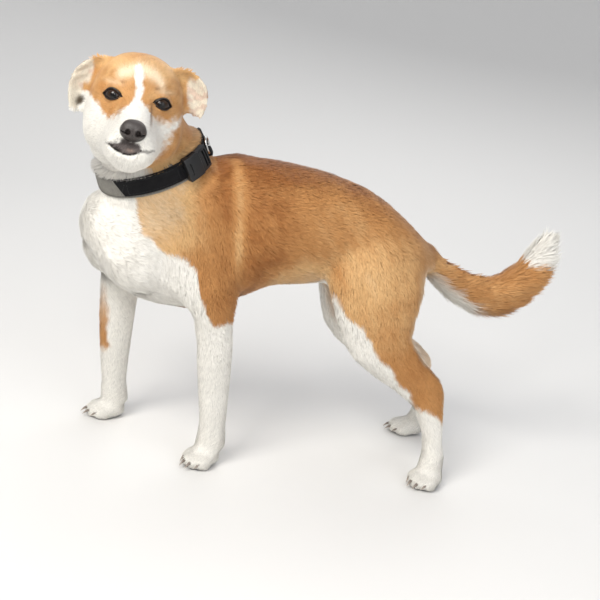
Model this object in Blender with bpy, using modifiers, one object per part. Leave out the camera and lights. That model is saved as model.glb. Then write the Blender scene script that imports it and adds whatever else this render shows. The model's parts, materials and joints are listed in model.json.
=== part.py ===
"""A standing tan and white dog of medium-small size, life-size, with a padded collar.

Metres, +Z up. The dog faces -Y, its left side is +X, and its head is turned round to its left.
The body is shaped once, as lofts and rounded masses that are fused and smoothed, and is then
divided by thin cuts into its named parts. The outline is that of the coat.
"""
import math

import bmesh
import bpy
import numpy as np
from mathutils import Matrix, Vector

# Fineness
VOXEL = 0.0028
FACE_TRIANGLES = 1850
PAW_TRIANGLES = 600
BODY_TRIANGLES = 1750
GAP = 0.0003
RING_POINTS = 28
LOFT_STEPS = 5
BODY_SMOOTHING = 16
FACE_SMOOTHING = 4

# Trunk: y, top z, bottom z, half width, fullness of the upper half (0 to 1)
TRUNK = (
    (-0.278, 0.332, 0.268, 0.036, 0.0),
    (-0.252, 0.350, 0.234, 0.056, 0.1),
    (-0.205, 0.374, 0.206, 0.064, 0.2),
    (-0.145, 0.406, 0.197, 0.067, 0.2),
    (-0.105, 0.4215, 0.206, 0.070, 0.2),
    (-0.070, 0.4195, 0.220, 0.072, 0.2),
    (-0.030, 0.418, 0.242, 0.072, 0.2),
    (0.030, 0.411, 0.251, 0.065, 0.2),
    (0.080, 0.399, 0.262, 0.059, 0.2),
    (0.120, 0.381, 0.272, 0.056, 0.3),
    (0.160, 0.355, 0.276, 0.050, 0.2),
    (0.196, 0.326, 0.282, 0.032, 0.0),
)

# Neck: centre, half width across, half depth from throat to nape
NECK = (
    ((0.000, -0.150, 0.300), 0.058, 0.080),
    ((0.000, -0.188, 0.345), 0.057, 0.077),
    ((0.002, -0.204, 0.386), 0.0555, 0.0735),
    ((0.017, -0.224, 0.424), 0.0535, 0.0590),
    ((0.045, -0.240, 0.466), 0.050, 0.047),
)

# Head, in its own frame: the eyes are at zero, -Y is forward, +X is its left
HEAD_PLACE = (0.070, -0.246, 0.4865)
HEAD_TURN = 84.0
HEAD_LIFT = 2.0
HEAD_TILT = 2.5
# y, top z, bottom z, half width, narrowing of the upper half
HEAD = (
    (0.108, 0.014, -0.040, 0.030, 0.0),
    (0.085, 0.036, -0.064, 0.046, 0.0),
    (0.055, 0.047, -0.080, 0.055, 0.0),
    (0.028, 0.048, -0.087, 0.0585, 0.05),
    (0.008, 0.040, -0.086, 0.055, 0.08),
    (-0.006, 0.027, -0.084, 0.046, 0.12),
    (-0.018, 0.009, -0.082, 0.037, 0.20),
    (-0.032, -0.003, -0.081, 0.032, 0.28),
    (-0.052, -0.009, -0.080, 0.031, 0.28),
    (-0.072, -0.014, -0.077, 0.028, 0.24),
    (-0.087, -0.018, -0.068, 0.021, 0.10),
)
HEAD_FULLNESS = 0.88
EYE_AT = (0.0270, -0.0060, -0.0038)
EYE_RADIUS = 0.0118
NOSE_AT = (0.0, -0.0885, -0.0285)
NOSE_RADII = (0.0140, 0.0105, 0.0115)

# Ear: base and tip in the head's frame, half width and cup
EAR_PATH = {
    "left": ((0.036, 0.040, 0.026), (0.080, 0.046, 0.028), (0.072, 0.038, -0.016)),
    "right": ((0.036, 0.040, 0.026), (0.079, 0.046, 0.016), (0.067, 0.038, -0.038)),
}
EAR_HALF_WIDTH = 0.0190
EAR_CUP = 0.009
EAR_THICKNESS = 0.0052

# Legs: centre, half width across, half depth fore and aft
FORELEG = {
    "left": (
        ((0.046, -0.165, 0.300), 0.026, 0.046),
        ((0.058, -0.132, 0.262), 0.027, 0.044),
        ((0.062, -0.114, 0.228), 0.025, 0.034),
        ((0.061, -0.106, 0.195), 0.021, 0.028),
        ((0.060, -0.099, 0.150), 0.0190, 0.0260),
        ((0.060, -0.093, 0.105), 0.0180, 0.0240),
        ((0.061, -0.090, 0.082), 0.0185, 0.0225),
        ((0.062, -0.087, 0.050), 0.0175, 0.0200),
        ((0.063, -0.086, 0.022), 0.0190, 0.0220),
    ),
    "right": (
        ((-0.046, -0.222, 0.290), 0.026, 0.044),
        ((-0.058, -0.216, 0.252), 0.027, 0.040),
        ((-0.062, -0.222, 0.218), 0.025, 0.032),
        ((-0.062, -0.222, 0.185), 0.021, 0.0290),
        ((-0.063, -0.219, 0.140), 0.0190, 0.0265),
        ((-0.066, -0.216, 0.098), 0.0180, 0.0230),
        ((-0.068, -0.214, 0.076), 0.0185, 0.0215),
        ((-0.070, -0.210, 0.046), 0.0175, 0.0195),
        ((-0.071, -0.206, 0.022), 0.0190, 0.0210),
    ),
}
HINDLEG = {
    "left": (
        ((0.040, 0.128, 0.330), 0.026, 0.056),
        ((0.052, 0.112, 0.285), 0.033, 0.074),
        ((0.060, 0.116, 0.240), 0.032, 0.064),
        ((0.066, 0.126, 0.205), 0.027, 0.054),
        ((0.070, 0.146, 0.178), 0.022, 0.041),
        ((0.073, 0.178, 0.152), 0.0185, 0.032),
        ((0.076, 0.206, 0.130), 0.0175, 0.030),
        ((0.080, 0.217, 0.104), 0.0165, 0.0225),
        ((0.086, 0.2255, 0.072), 0.0155, 0.0175),
        ((0.091, 0.2310, 0.044), 0.0158, 0.0172),
        ((0.095, 0.2300, 0.022), 0.0180, 0.0195),
    ),
    "right": (
        ((-0.040, 0.130, 0.330), 0.026, 0.056),
        ((-0.052, 0.118, 0.285), 0.033, 0.070),
        ((-0.057, 0.122, 0.238), 0.032, 0.062),
        ((-0.059, 0.130, 0.200), 0.028, 0.056),
        ((-0.059, 0.150, 0.170), 0.023, 0.044),
        ((-0.057, 0.194, 0.146), 0.0185, 0.033),
        ((-0.055, 0.236, 0.124), 0.0175, 0.029),
        ((-0.057, 0.256, 0.098), 0.0165, 0.0220),
        ((-0.061, 0.266, 0.068), 0.0155, 0.0175),
        ((-0.064, 0.271, 0.042), 0.0158, 0.0172),
        ((-0.067, 0.270, 0.022), 0.0180, 0.0195),
    ),
}

# Rounded masses over the lofts: centre, radii, turn in degrees about X, Y and Z
MASSES = {
    "shoulder_left": ((0.046, -0.140, 0.322), (0.030, 0.050, 0.084), (-16, -10, 0)),
    "shoulder_right": ((-0.046, -0.170, 0.314), (0.030, 0.050, 0.084), (-12, 10, 0)),
    "breast_left": ((0.040, -0.214, 0.278), (0.034, 0.050, 0.054), (0, 0, 0)),
    "breast_right": ((-0.040, -0.240, 0.276), (0.034, 0.048, 0.056), (0, 0, 0)),
    "elbow_left": ((0.064, -0.094, 0.236), (0.015, 0.016, 0.018), (0, 0, 0)),
    "elbow_right": ((-0.064, -0.196, 0.222), (0.015, 0.016, 0.018), (0, 0, 0)),
    "buttock_left": ((0.034, 0.150, 0.292), (0.030, 0.036, 0.052), (0, 0, 0)),
    "buttock_right": ((-0.034, 0.154, 0.290), (0.030, 0.036, 0.052), (0, 0, 0)),
    "stifle_right": ((-0.058, 0.116, 0.176), (0.018, 0.024, 0.026), (0, 0, 0)),
    "ruff": ((-0.012, -0.262, 0.306), (0.050, 0.034, 0.042), (0, 0, 0)),
    "hock_left": ((0.077, 0.222, 0.134), (0.013, 0.013, 0.015), (0, 0, 0)),
    "hock_right": ((-0.055, 0.250, 0.126), (0.013, 0.013, 0.015), (0, 0, 0)),
}
# The same in the head's frame, for the left side, and mirrored to the right
HEAD_MASSES = (
    ((0.040, 0.020, -0.040), (0.021, 0.034, 0.036)),
    ((0.023, 0.004, 0.017), (0.014, 0.012, 0.009)),
    ((0.0165, -0.062, -0.049), (0.0150, 0.026, 0.0175)),
    ((0.033, 0.006, -0.030), (0.018, 0.025, 0.022)),
    ((0.022, 0.040, -0.068), (0.028, 0.034, 0.027)),
)
CHIN = ((0.0, -0.058, -0.073), (0.018, 0.024, 0.0105))

# Tail: centre, half width, half height
TAIL = (
    ((0.000, 0.180, 0.315), 0.022, 0.024),
    ((0.000, 0.212, 0.290), 0.022, 0.023),
    ((0.001, 0.246, 0.270), 0.023, 0.026),
    ((0.002, 0.282, 0.258), 0.026, 0.031),
    ((0.003, 0.318, 0.262), 0.028, 0.034),
    ((0.004, 0.345, 0.282), 0.027, 0.032),
    ((0.005, 0.361, 0.310), 0.0245, 0.0270),
    ((0.006, 0.370, 0.338), 0.0210, 0.0230),
    ((0.006, 0.3735, 0.357), 0.0135, 0.0150),
)

# Paws: place on the floor and turn outwards in degrees
PAWS = {
    "foreleg_left": ((0.067, -0.090), 36.0),
    "foreleg_right": ((-0.070, -0.208), 12.0),
    "hindleg_left": ((0.100, 0.231), 32.0),
    "hindleg_right": ((-0.068, 0.263), -4.0),
}
TOES = ((-0.0165, -0.018), (-0.0060, -0.027), (0.0060, -0.027), (0.0165, -0.018))
TOE_RADII = (0.0082, 0.0140, 0.0112)
TOE_HEIGHT = 0.0092
PAW_RADII = (0.0210, 0.0240, 0.0150)
PAW_HEIGHT = 0.0115
CLAW_LENGTH = 0.0120
CLAW_RADIUS = 0.0028
CLAW_HEIGHT = 0.0078
CLAW_DROOP = 20.0
CLAW_SPREAD = -9.0
CLAW_OUT = 0.0005

# Collar: a ring round the neck, in a plane that is low at the throat and high at the nape
COLLAR_AT = (0.0075, -0.2130, 0.3960)
COLLAR_SLOPE = 26.1
COLLAR_LEAN = 16.9
COLLAR_HALF_ACROSS = 0.0530
COLLAR_HALF_DEPTH = 0.0670
LINING_WIDTH = 0.030
LINING_THICKNESS = 0.0045
LINING_CROWN = 0.0006
COLLAR_BED = 0.0095
WEBBING_WIDTH = 0.024
WEBBING_RAISED = 0.0028
WEBBING_THICKNESS = 0.0022
COLLAR_POINTS = 32
COLLAR_PLAY = 0.0007
WEBBING_FROM = -36.0
WEBBING_TO = 228.0
BUCKLE_FROM = 34.0
BUCKLE_TO = 66.0
BUCKLE_WIDTH = 0.032
BUCKLE_THICKNESS = 0.0090
COLLAR_FLARE = 1.6
RING_BEARING = 82.0
RING_RADII = (0.0105, 0.0016)
# The hollows in the coat behind the buckle and the ring: degrees past the buckle, and the ring's own in degrees and width
POCKET_SPARE = 2.0
RING_SPREAD = 14.0
RING_POCKET_WIDTH = 0.0336

# Where the parts divide
NOSE_REGION = (0.0165, 0.0130, 0.0130)
EAR_REGION = (0.028, 0.032, 0.046)
HEAD_REACH = 0.125
HEAD_BACK = 0.09
PAW_TOP = 0.050
# Each end block: a point on the cut, the turn of the block, its half sizes and its middle from that point
END_CUTS = {
    "head": ((0.0130, -0.2222, 0.4140), (26.1, 16.9, 0), (0.16, 0.16, 0.10), (0.02, 0.0, 0.10)),
    "neck": ((0.0020, -0.2038, 0.3780), (26.1, 16.9, 0), (0.16, 0.16, 0.10), (0.0, 0.0, 0.10)),
    "tail_tip": ((0.006, 0.372, 0.330), (64, 0, 0), (0.06, 0.04, 0.06), (0.0, 0.04, 0.0)),
    "tail": ((0.000, 0.206, 0.294), (-37, 0, 0), (0.06, 0.13, 0.13), (0.0, 0.13, 0.07)),
}
FORELEG_CUTS = (("paw", 0.050), ("forearm", 0.190))
HINDLEG_CUTS = (("paw", 0.046), ("shank", 0.196))
LEG_BLOCK = (0.052, 0.115, 0.1)
UPPER_LEGS = {
    ("foreleg", "left"): ("arm", (0.086, -0.138, 0.285), (0.055, 0.062, 0.120), (-14, 0, 0)),
    ("foreleg", "right"): ("arm", (-0.086, -0.196, 0.280), (0.055, 0.062, 0.120), (-6, 0, 0)),
    ("hindleg", "left"): ("thigh", (0.096, 0.122, 0.255), (0.066, 0.105, 0.120), (0, 0, 0)),
    ("hindleg", "right"): ("thigh", (-0.092, 0.126, 0.255), (0.066, 0.105, 0.120), (0, 0, 0)),
}

# Colours
TAN = (0.62, 0.33, 0.13)
WHITE = (0.86, 0.82, 0.76)
BLACK = (0.02, 0.02, 0.022)
BROWN = (0.06, 0.025, 0.012)
GREY = (0.30, 0.30, 0.31)
HORN = (0.10, 0.085, 0.075)
STEEL = (0.62, 0.62, 0.62)


def clear_scene():
    for item in list(bpy.data.objects):
        bpy.data.objects.remove(item)


def collection_of(name):
    made = bpy.data.collections.new(name)
    bpy.context.scene.collection.children.link(made)
    return made


def finish_of(name, colour, roughness, metallic=0.0):
    made = bpy.data.materials.new(name)
    made.use_nodes = True
    shader = made.node_tree.nodes["Principled BSDF"]
    shader.inputs["Base Color"].default_value = (*colour, 1.0)
    shader.inputs["Roughness"].default_value = roughness
    shader.inputs["Metallic"].default_value = metallic
    return made


def object_from(bm, name, where):
    """The bmesh as a new object with its normals facing out."""
    bmesh.ops.recalc_face_normals(bm, faces=bm.faces)
    if bm.calc_volume(signed=True) < 0:
        bmesh.ops.reverse_faces(bm, faces=bm.faces)
    mesh = bpy.data.meshes.new(name)
    bm.to_mesh(mesh)
    bm.free()
    made = bpy.data.objects.new(name, mesh)
    where.objects.link(made)
    return made


def turned(degrees):
    x, y, z = (math.radians(value) for value in degrees)
    return Matrix.Rotation(z, 4, "Z") @ Matrix.Rotation(y, 4, "Y") @ Matrix.Rotation(x, 4, "X")


def between_stations(rows):
    """Smooth rows between the given ones, on a curve through all of them."""
    rows = np.array(rows, float)
    before = np.vstack((2 * rows[0] - rows[1], rows, 2 * rows[-1] - rows[-2]))
    made = []
    for index in range(len(rows) - 1):
        a, b, c, d = before[index : index + 4]
        for step in range(LOFT_STEPS):
            t = step / LOFT_STEPS
            made.append(
                0.5 * (2 * b + (c - a) * t + (2 * a - 5 * b + 4 * c - d) * t**2 + (3 * b - a - 3 * c + d) * t**3)
            )
    made.append(rows[-1])
    return np.array(made)


def loft(sections):
    """A closed skin over a row of rings with the same number of points."""
    bm = bmesh.new()
    rings = [[bm.verts.new(point) for point in section] for section in sections]
    for first, second in zip(rings, rings[1:]):
        for index in range(len(first)):
            after = (index + 1) % len(first)
            bm.faces.new((first[index], first[after], second[after], second[index]))
    bm.faces.new(rings[0])
    bm.faces.new(list(reversed(rings[-1])))
    return bm


def rounded(value, fullness):
    """A sine or cosine for a ring that is squarer than an ellipse as its fullness falls below 1."""
    return math.copysign(abs(value) ** fullness, value)


def barrel(rows, narrow_up, fullness=1.0):
    """Rings across Y between a top and a bottom line. Each row is y, top, bottom, half width, shape."""
    sections = []
    for y, top, bottom, half_width, shape in between_stations(rows):
        middle = 0.5 * (top + bottom)
        half_height = 0.5 * (top - bottom)
        section = []
        for index in range(RING_POINTS):
            angle = 2 * math.pi * index / RING_POINTS
            up = rounded(math.sin(angle), fullness)
            side = rounded(math.cos(angle), fullness)
            width = half_width * (1 - shape * up) if narrow_up else half_width * (1 + shape * 0.3 * (1 - up * up))
            section.append(Vector((width * side, y, middle + half_height * up)))
        sections.append(section)
    return loft(sections)


def tube(rows, side_hint):
    """Rings square to a path. Each row is a centre, a half width and a half depth."""
    flat = between_stations([(*centre, width, depth) for centre, width, depth in rows])
    centres = [Vector(row[:3]) for row in flat]
    sections = []
    for index, row in enumerate(flat):
        before = centres[max(index - 1, 0)]
        after = centres[min(index + 1, len(centres) - 1)]
        along = (after - before).normalized()
        deep = along.cross(Vector(side_hint)).normalized()
        side = deep.cross(along).normalized()
        section = []
        for point in range(RING_POINTS):
            angle = 2 * math.pi * point / RING_POINTS
            section.append(centres[index] + side * row[3] * math.cos(angle) + deep * row[4] * math.sin(angle))
        sections.append(section)
    return loft(sections)


def egg(centre, radii, degrees=(0, 0, 0), segments=12):
    bm = bmesh.new()
    place = Matrix.Translation(centre) @ turned(degrees) @ Matrix.Diagonal((*radii, 1.0))
    bmesh.ops.create_uvsphere(bm, u_segments=segments, v_segments=segments // 2, radius=1.0, matrix=place)
    return bm


def add(bm, other):
    """Adds a bmesh to another and frees it."""
    mesh = bpy.data.meshes.new("part")
    other.to_mesh(mesh)
    other.free()
    bm.from_mesh(mesh)
    bpy.data.meshes.remove(mesh)


def head_frame():
    turn = Matrix.Rotation(math.radians(HEAD_TURN), 4, "Z")
    lift = Matrix.Rotation(math.radians(-HEAD_LIFT), 4, "X")
    tilt = Matrix.Rotation(math.radians(HEAD_TILT), 4, "Y")
    return Matrix.Translation(HEAD_PLACE) @ turn @ lift @ tilt


def ear(side):
    """A cupped leaf from its root on the skull to its drooping tip, with its hollow facing forward."""
    sign = 1.0 if side == "left" else -1.0
    root, bend, tip = (Vector(point) for point in EAR_PATH[side])
    rows = 12
    columns = 9
    bm = bmesh.new()
    grid = []
    for row in range(rows):
        u = row / (rows - 1)
        centre = root.lerp(bend, u).lerp(bend.lerp(tip, u), u)
        along = (bend - root).lerp(tip - bend, u).normalized()
        outward = Vector((-along.z, 0.0, along.x))
        width = EAR_HALF_WIDTH * math.sin(math.pi * (0.22 + 0.62 * u)) ** 0.7
        line = []
        for column in range(columns):
            v = 2 * column / (columns - 1) - 1
            point = centre + outward * (width * v) + Vector((0, -EAR_CUP * v * v, 0))
            line.append(bm.verts.new((sign * point.x, point.y, point.z)))
        grid.append(line)
    for first, second in zip(grid, grid[1:]):
        for a, b, c, d in zip(first, first[1:], second[1:], second):
            bm.faces.new((a, b, c, d))
    bmesh.ops.recalc_face_normals(bm, faces=bm.faces)
    bmesh.ops.solidify(bm, geom=bm.faces, thickness=EAR_THICKNESS)
    return bm


def head_shape():
    bm = barrel(HEAD, narrow_up=True, fullness=HEAD_FULLNESS)
    for centre, radii in HEAD_MASSES:
        for sign in (1, -1):
            add(bm, egg((sign * centre[0], centre[1], centre[2]), radii, segments=24))
    add(bm, egg(*CHIN, segments=24))
    add(bm, egg(NOSE_AT, NOSE_RADII, segments=24))
    for side in ("left", "right"):
        add(bm, ear(side))
    bm.transform(head_frame())
    return bm


def paw_frame(name):
    (x, y), turn = PAWS[name]
    return Matrix.Translation((x, y, 0.0)) @ Matrix.Rotation(math.radians(turn), 4, "Z")


def paw_shape(name):
    bm = egg((0.0, -0.004, PAW_HEIGHT), PAW_RADII)
    for x, y in TOES:
        add(bm, egg((x, y, TOE_HEIGHT), TOE_RADII))
    bm.transform(paw_frame(name))
    return bm


def modified(source, kind, where, **settings):
    """A new object that holds the source's mesh with one modifier applied, and replaces it."""
    modifier = source.modifiers.new(kind.lower(), kind)
    for name, value in settings.items():
        setattr(modifier, name, value)
    bpy.context.view_layer.update()
    graph = bpy.context.evaluated_depsgraph_get()
    mesh = bpy.data.meshes.new_from_object(source.evaluated_get(graph))
    made = bpy.data.objects.new(source.name, mesh)
    where.objects.link(made)
    bpy.data.objects.remove(source)
    return made


def soften(item, rounds, chosen):
    """Relaxes the chosen points, so that masses run into each other."""
    bm = bmesh.new()
    bm.from_mesh(item.data)
    verts = [vert for vert in bm.verts if chosen(vert.co)]
    for _ in range(rounds):
        bmesh.ops.smooth_vert(bm, verts=verts, factor=0.5, use_axis_x=True, use_axis_y=True, use_axis_z=True)
    bm.to_mesh(item.data)
    bm.free()


def in_face(point):
    local = head_frame().inverted() @ point
    return local.length < HEAD_REACH and local.y < HEAD_BACK


def in_body(point):
    return point.z > PAW_TOP and not in_face(point)


def in_paw(point):
    return point.z <= PAW_TOP


def thin_out(item, chosen, triangles):
    """Brings the chosen part of a mesh down to about this many triangles, and leaves the rest."""
    bpy.ops.object.select_all(action="DESELECT")
    bpy.context.view_layer.objects.active = item
    item.select_set(True)
    faces = 0
    for vert in item.data.vertices:
        vert.select = False
    for edge in item.data.edges:
        edge.select = False
    for face in item.data.polygons:
        face.select = chosen(face.center)
        faces += face.select
    bpy.ops.object.mode_set(mode="EDIT")
    bpy.ops.mesh.select_mode(type="FACE")
    bpy.ops.mesh.decimate(ratio=triangles / faces)
    bpy.ops.object.mode_set(mode="OBJECT")


def flesh_shape(where):
    bm = barrel(TRUNK, narrow_up=False)
    add(bm, tube(NECK, (1, 0, 0)))
    add(bm, tube(TAIL, (1, 0, 0)))
    for legs in (FORELEG, HINDLEG):
        for rows in legs.values():
            add(bm, tube(rows, (1, 0, 0)))
    for centre, radii, degrees in MASSES.values():
        add(bm, egg(centre, radii, degrees, segments=24))
    for name in PAWS:
        add(bm, paw_shape(name))
    add(bm, head_shape())
    flesh = object_from(bm, "trunk", where)
    flesh = modified(flesh, "REMESH", where, mode="VOXEL", voxel_size=VOXEL)
    flesh = modified(flesh, "TRIANGULATE", where)
    soften(flesh, BODY_SMOOTHING, in_body)
    soften(flesh, FACE_SMOOTHING, lambda point: True)
    thin_out(flesh, in_body, BODY_TRIANGLES)
    thin_out(flesh, in_face, FACE_TRIANGLES)
    thin_out(flesh, in_paw, PAW_TRIANGLES)
    return flesh


def block(centre, half_sizes, degrees=(0, 0, 0)):
    bm = bmesh.new()
    place = Matrix.Translation(centre) @ turned(degrees)
    bmesh.ops.create_cube(bm, size=2.0, matrix=place @ Matrix.Diagonal((*half_sizes, 1.0)))
    return bm


def cutter_from(bm, name, where):
    made = object_from(bm, name, where)
    made.hide_render = True
    made.display_type = "WIRE"
    return made


def joined_or_cut(item, cutter, operation, where):
    return modified(item, "BOOLEAN", where, operation=operation, object=cutter, solver="EXACT")


def keep_largest(item):
    """Drops any crumb that a cut left beside the main body."""
    bm = bmesh.new()
    bm.from_mesh(item.data)
    left = set(bm.verts)
    islands = []
    while left:
        island = {left.pop()}
        edge_of_island = set(island)
        while edge_of_island:
            reached = {edge.other_vert(vert) for vert in edge_of_island for edge in vert.link_edges}
            edge_of_island = reached - island
            island |= edge_of_island
        left -= island
        islands.append(island)
    islands.sort(key=len)
    for island in islands[:-1]:
        bmesh.ops.delete(bm, geom=list(island), context="VERTS")
    bm.to_mesh(item.data)
    bm.free()


def copy_of(item, name, where):
    made = bpy.data.objects.new(name, item.data.copy())
    where.objects.link(made)
    return made


def take(flesh, name, shape, sizes, place, degrees, frame, where):
    """Divides one named part from the flesh with a thin cut, and returns both."""
    parts = []
    for margin, operation in ((-0.6 * GAP, "INTERSECT"), (0.6 * GAP, "DIFFERENCE")):
        bm = shape(place, [size + margin for size in sizes], degrees)
        bm.transform(frame)
        cutter = cutter_from(bm, "cutter", where)
        source = copy_of(flesh, name, where) if operation == "INTERSECT" else flesh
        part = joined_or_cut(source, cutter, operation, where)
        keep_largest(part)
        bpy.data.objects.remove(cutter)
        parts.append(part)
    return parts


def body_regions():
    """Name, shape, half sizes, centre, turn and frame of each region that becomes its own part."""
    world = Matrix.Identity(4)
    head = head_frame()
    yield "nose", egg, NOSE_REGION, (NOSE_AT[0], NOSE_AT[1] - 0.002, NOSE_AT[2] + 0.001), (0, 0, 0), head
    for side, sign in (("left", 1), ("right", -1)):
        root, bend, tip = (Vector(point) for point in EAR_PATH[side])
        middle = root.lerp(tip, 0.5).lerp(bend, 0.5)
        place = (sign * (middle.x + 0.015), middle.y + 0.008, middle.z)
        yield "ear_" + side, egg, EAR_REGION, place, (0, 0, 0), head
    for name, (place, degrees, sizes, offset) in END_CUTS.items():
        centre = Vector(place) + turned(degrees) @ Vector(offset)
        yield name, block, sizes, centre, degrees, world
    for side in ("left", "right"):
        for kind, legs, cuts in (("foreleg", FORELEG, FORELEG_CUTS), ("hindleg", HINDLEG, HINDLEG_CUTS)):
            leg = legs[side]
            for part, height in cuts:
                below = [row[0] for row in leg if row[0][2] <= height]
                place = (below[0][0], below[0][1], height - 0.1)
                yield kind + "_" + side + "_" + part, block, LEG_BLOCK, place, (0, 0, 0), world
            upper, place, sizes, degrees = UPPER_LEGS[kind, side]
            yield kind + "_" + side + "_" + upper, egg, sizes, place, degrees, world


def eyes_of(where):
    """The two eyeballs, and a slightly larger copy of each that hollows its socket."""
    eyes = []
    sockets = bmesh.new()
    for side, sign in (("left", 1), ("right", -1)):
        place = head_frame() @ Vector((sign * EYE_AT[0], EYE_AT[1], EYE_AT[2]))
        eyes.append(object_from(egg(place, (EYE_RADIUS,) * 3), "eye_" + side, where))
        add(sockets, egg(place, (EYE_RADIUS + GAP,) * 3))
    return eyes, sockets


def claw_shape(length, radius, name, toe):
    bm = bmesh.new()
    bmesh.ops.create_cone(
        bm, cap_ends=True, segments=6, radius1=radius, radius2=0.25 * radius, depth=length,
        matrix=Matrix.Rotation(math.radians(90 + CLAW_DROOP), 4, "X"),
    )
    x, y = TOES[toe]
    spread = Matrix.Rotation(math.radians(CLAW_SPREAD * x / TOES[-1][0]), 4, "Z")
    reach = TOE_RADII[1] + CLAW_OUT
    bm.transform(paw_frame(name) @ Matrix.Translation((x, y, CLAW_HEIGHT)) @ spread @ Matrix.Translation((0, -reach, 0)))
    return bm


def claws_of(where):
    claws = []
    beds = bmesh.new()
    for name in PAWS:
        for toe in range(len(TOES)):
            claw = claw_shape(CLAW_LENGTH, CLAW_RADIUS, name, toe)
            claws.append(object_from(claw, f"{name}_claw_{toe + 1}", where))
            add(beds, claw_shape(CLAW_LENGTH + 2 * GAP, CLAW_RADIUS + GAP, name, toe))
    return claws, beds


def collar_frame():
    slope = Matrix.Rotation(math.radians(COLLAR_SLOPE), 4, "X")
    lean = Matrix.Rotation(math.radians(COLLAR_LEAN), 4, "Y")
    return Matrix.Translation(COLLAR_AT) @ lean @ slope


def hoop(inner, thickness, width, start=0.0, end=360.0, crown=0.0, raised=0.0):
    """A band round the neck from one bearing to another. Bearing 0 is the dog's left, 90 is the nape."""
    whole = end - start >= 360.0
    profile = [(0, -0.5), (thickness, -0.5), (thickness + crown, 0), (thickness, 0.5), (0, 0.5)]
    if not crown:
        profile.pop(2)
    count = max(6, round(COLLAR_POINTS * (end - start) / 360.0))
    bm = bmesh.new()
    rings = []
    for index in range(count if whole else count + 1):
        bearing = math.radians(start + (end - start) * index / count)
        ring = []
        for out, high in profile:
            height = high * width + raised
            flare = 1.0 - COLLAR_FLARE * height
            across = (COLLAR_HALF_ACROSS * flare + inner + out) * math.cos(bearing)
            deep = (COLLAR_HALF_DEPTH * flare + inner + out) * math.sin(bearing)
            ring.append(bm.verts.new((across, deep, height)))
        rings.append(ring)
    pairs = list(zip(rings, rings[1:])) + ([(rings[-1], rings[0])] if whole else [])
    for first, second in pairs:
        for index in range(len(first)):
            after = (index + 1) % len(first)
            bm.faces.new((first[index], first[after], second[after], second[index]))
    if not whole:
        bm.faces.new(rings[0])
        bm.faces.new(list(reversed(rings[-1])))
    bmesh.ops.recalc_face_normals(bm, faces=bm.faces)
    bm.transform(collar_frame())
    return bm


def torus(radius, wire):
    """A ring about Z, made by spinning a small circle."""
    bm = bmesh.new()
    circle = bmesh.ops.create_circle(bm, segments=5, radius=wire, matrix=Matrix.Rotation(math.radians(90), 4, "X"))
    bmesh.ops.translate(bm, verts=circle["verts"], vec=(radius, 0, 0))
    bmesh.ops.spin(
        bm, geom=bm.verts[:] + bm.edges[:], cent=(0, 0, 0), axis=(0, 0, 1), angle=2 * math.pi, steps=12,
        use_duplicate=False,
    )
    bmesh.ops.remove_doubles(bm, verts=bm.verts, dist=0.00001)
    return bm


def collar_of(where):
    """The padded lining, the webbing over it, its buckle and its ring."""
    pieces = [object_from(hoop(0.0, LINING_THICKNESS, LINING_WIDTH, crown=LINING_CROWN), "collar_lining", where)]
    outside = LINING_THICKNESS + LINING_CROWN + COLLAR_PLAY
    webbing = hoop(outside, WEBBING_THICKNESS, WEBBING_WIDTH, WEBBING_FROM, WEBBING_TO, raised=WEBBING_RAISED)
    pieces.append(object_from(webbing, "collar_webbing", where))
    outside += WEBBING_THICKNESS + COLLAR_PLAY
    buckle = hoop(outside, BUCKLE_THICKNESS, BUCKLE_WIDTH, BUCKLE_FROM, BUCKLE_TO, raised=WEBBING_RAISED)
    pieces.append(object_from(buckle, "collar_buckle", where))
    bearing = math.radians(RING_BEARING)
    reach = outside + RING_RADII[1] + GAP
    across = (COLLAR_HALF_ACROSS + reach) * math.cos(bearing)
    deep = (COLLAR_HALF_DEPTH + reach) * math.sin(bearing)
    facing = Matrix.Rotation(bearing, 4, "Z") @ Matrix.Rotation(math.radians(90), 4, "Y")
    ring = torus(*RING_RADII)
    ring.transform(collar_frame() @ Matrix.Translation((across, deep, 0.5 * RING_RADII[0])) @ facing)
    pieces.append(object_from(ring, "collar_ring", where))
    beds = [hoop(-GAP, COLLAR_BED, LINING_WIDTH + 2 * GAP)]
    for start, end, deep_enough, width in (
        (BUCKLE_FROM - POCKET_SPARE, BUCKLE_TO + POCKET_SPARE, outside + BUCKLE_THICKNESS, BUCKLE_WIDTH),
        (RING_BEARING - RING_SPREAD, RING_BEARING + RING_SPREAD, reach + RING_RADII[1], RING_POCKET_WIDTH),
    ):
        beds.append(hoop(-GAP, deep_enough + 2 * GAP, width + 4 * GAP, start, end, raised=WEBBING_RAISED))
    return pieces, beds


def stand_on_floor(items):
    """Moves everything so that the origin is under the middle of the dog, on the floor."""
    corners = [vert.co for item in items for vert in item.data.vertices]
    low = [min(corner[axis] for corner in corners) for axis in range(3)]
    high = [max(corner[axis] for corner in corners) for axis in range(3)]
    shift = Vector((-(low[0] + high[0]) / 2, -(low[1] + high[1]) / 2, -low[2]))
    for item in items:
        item.data.transform(Matrix.Translation(shift))


def finish_for(name, finishes):
    for start, finish in finishes:
        if name.startswith(start):
            return finish
    return finishes[-1][1]


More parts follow.
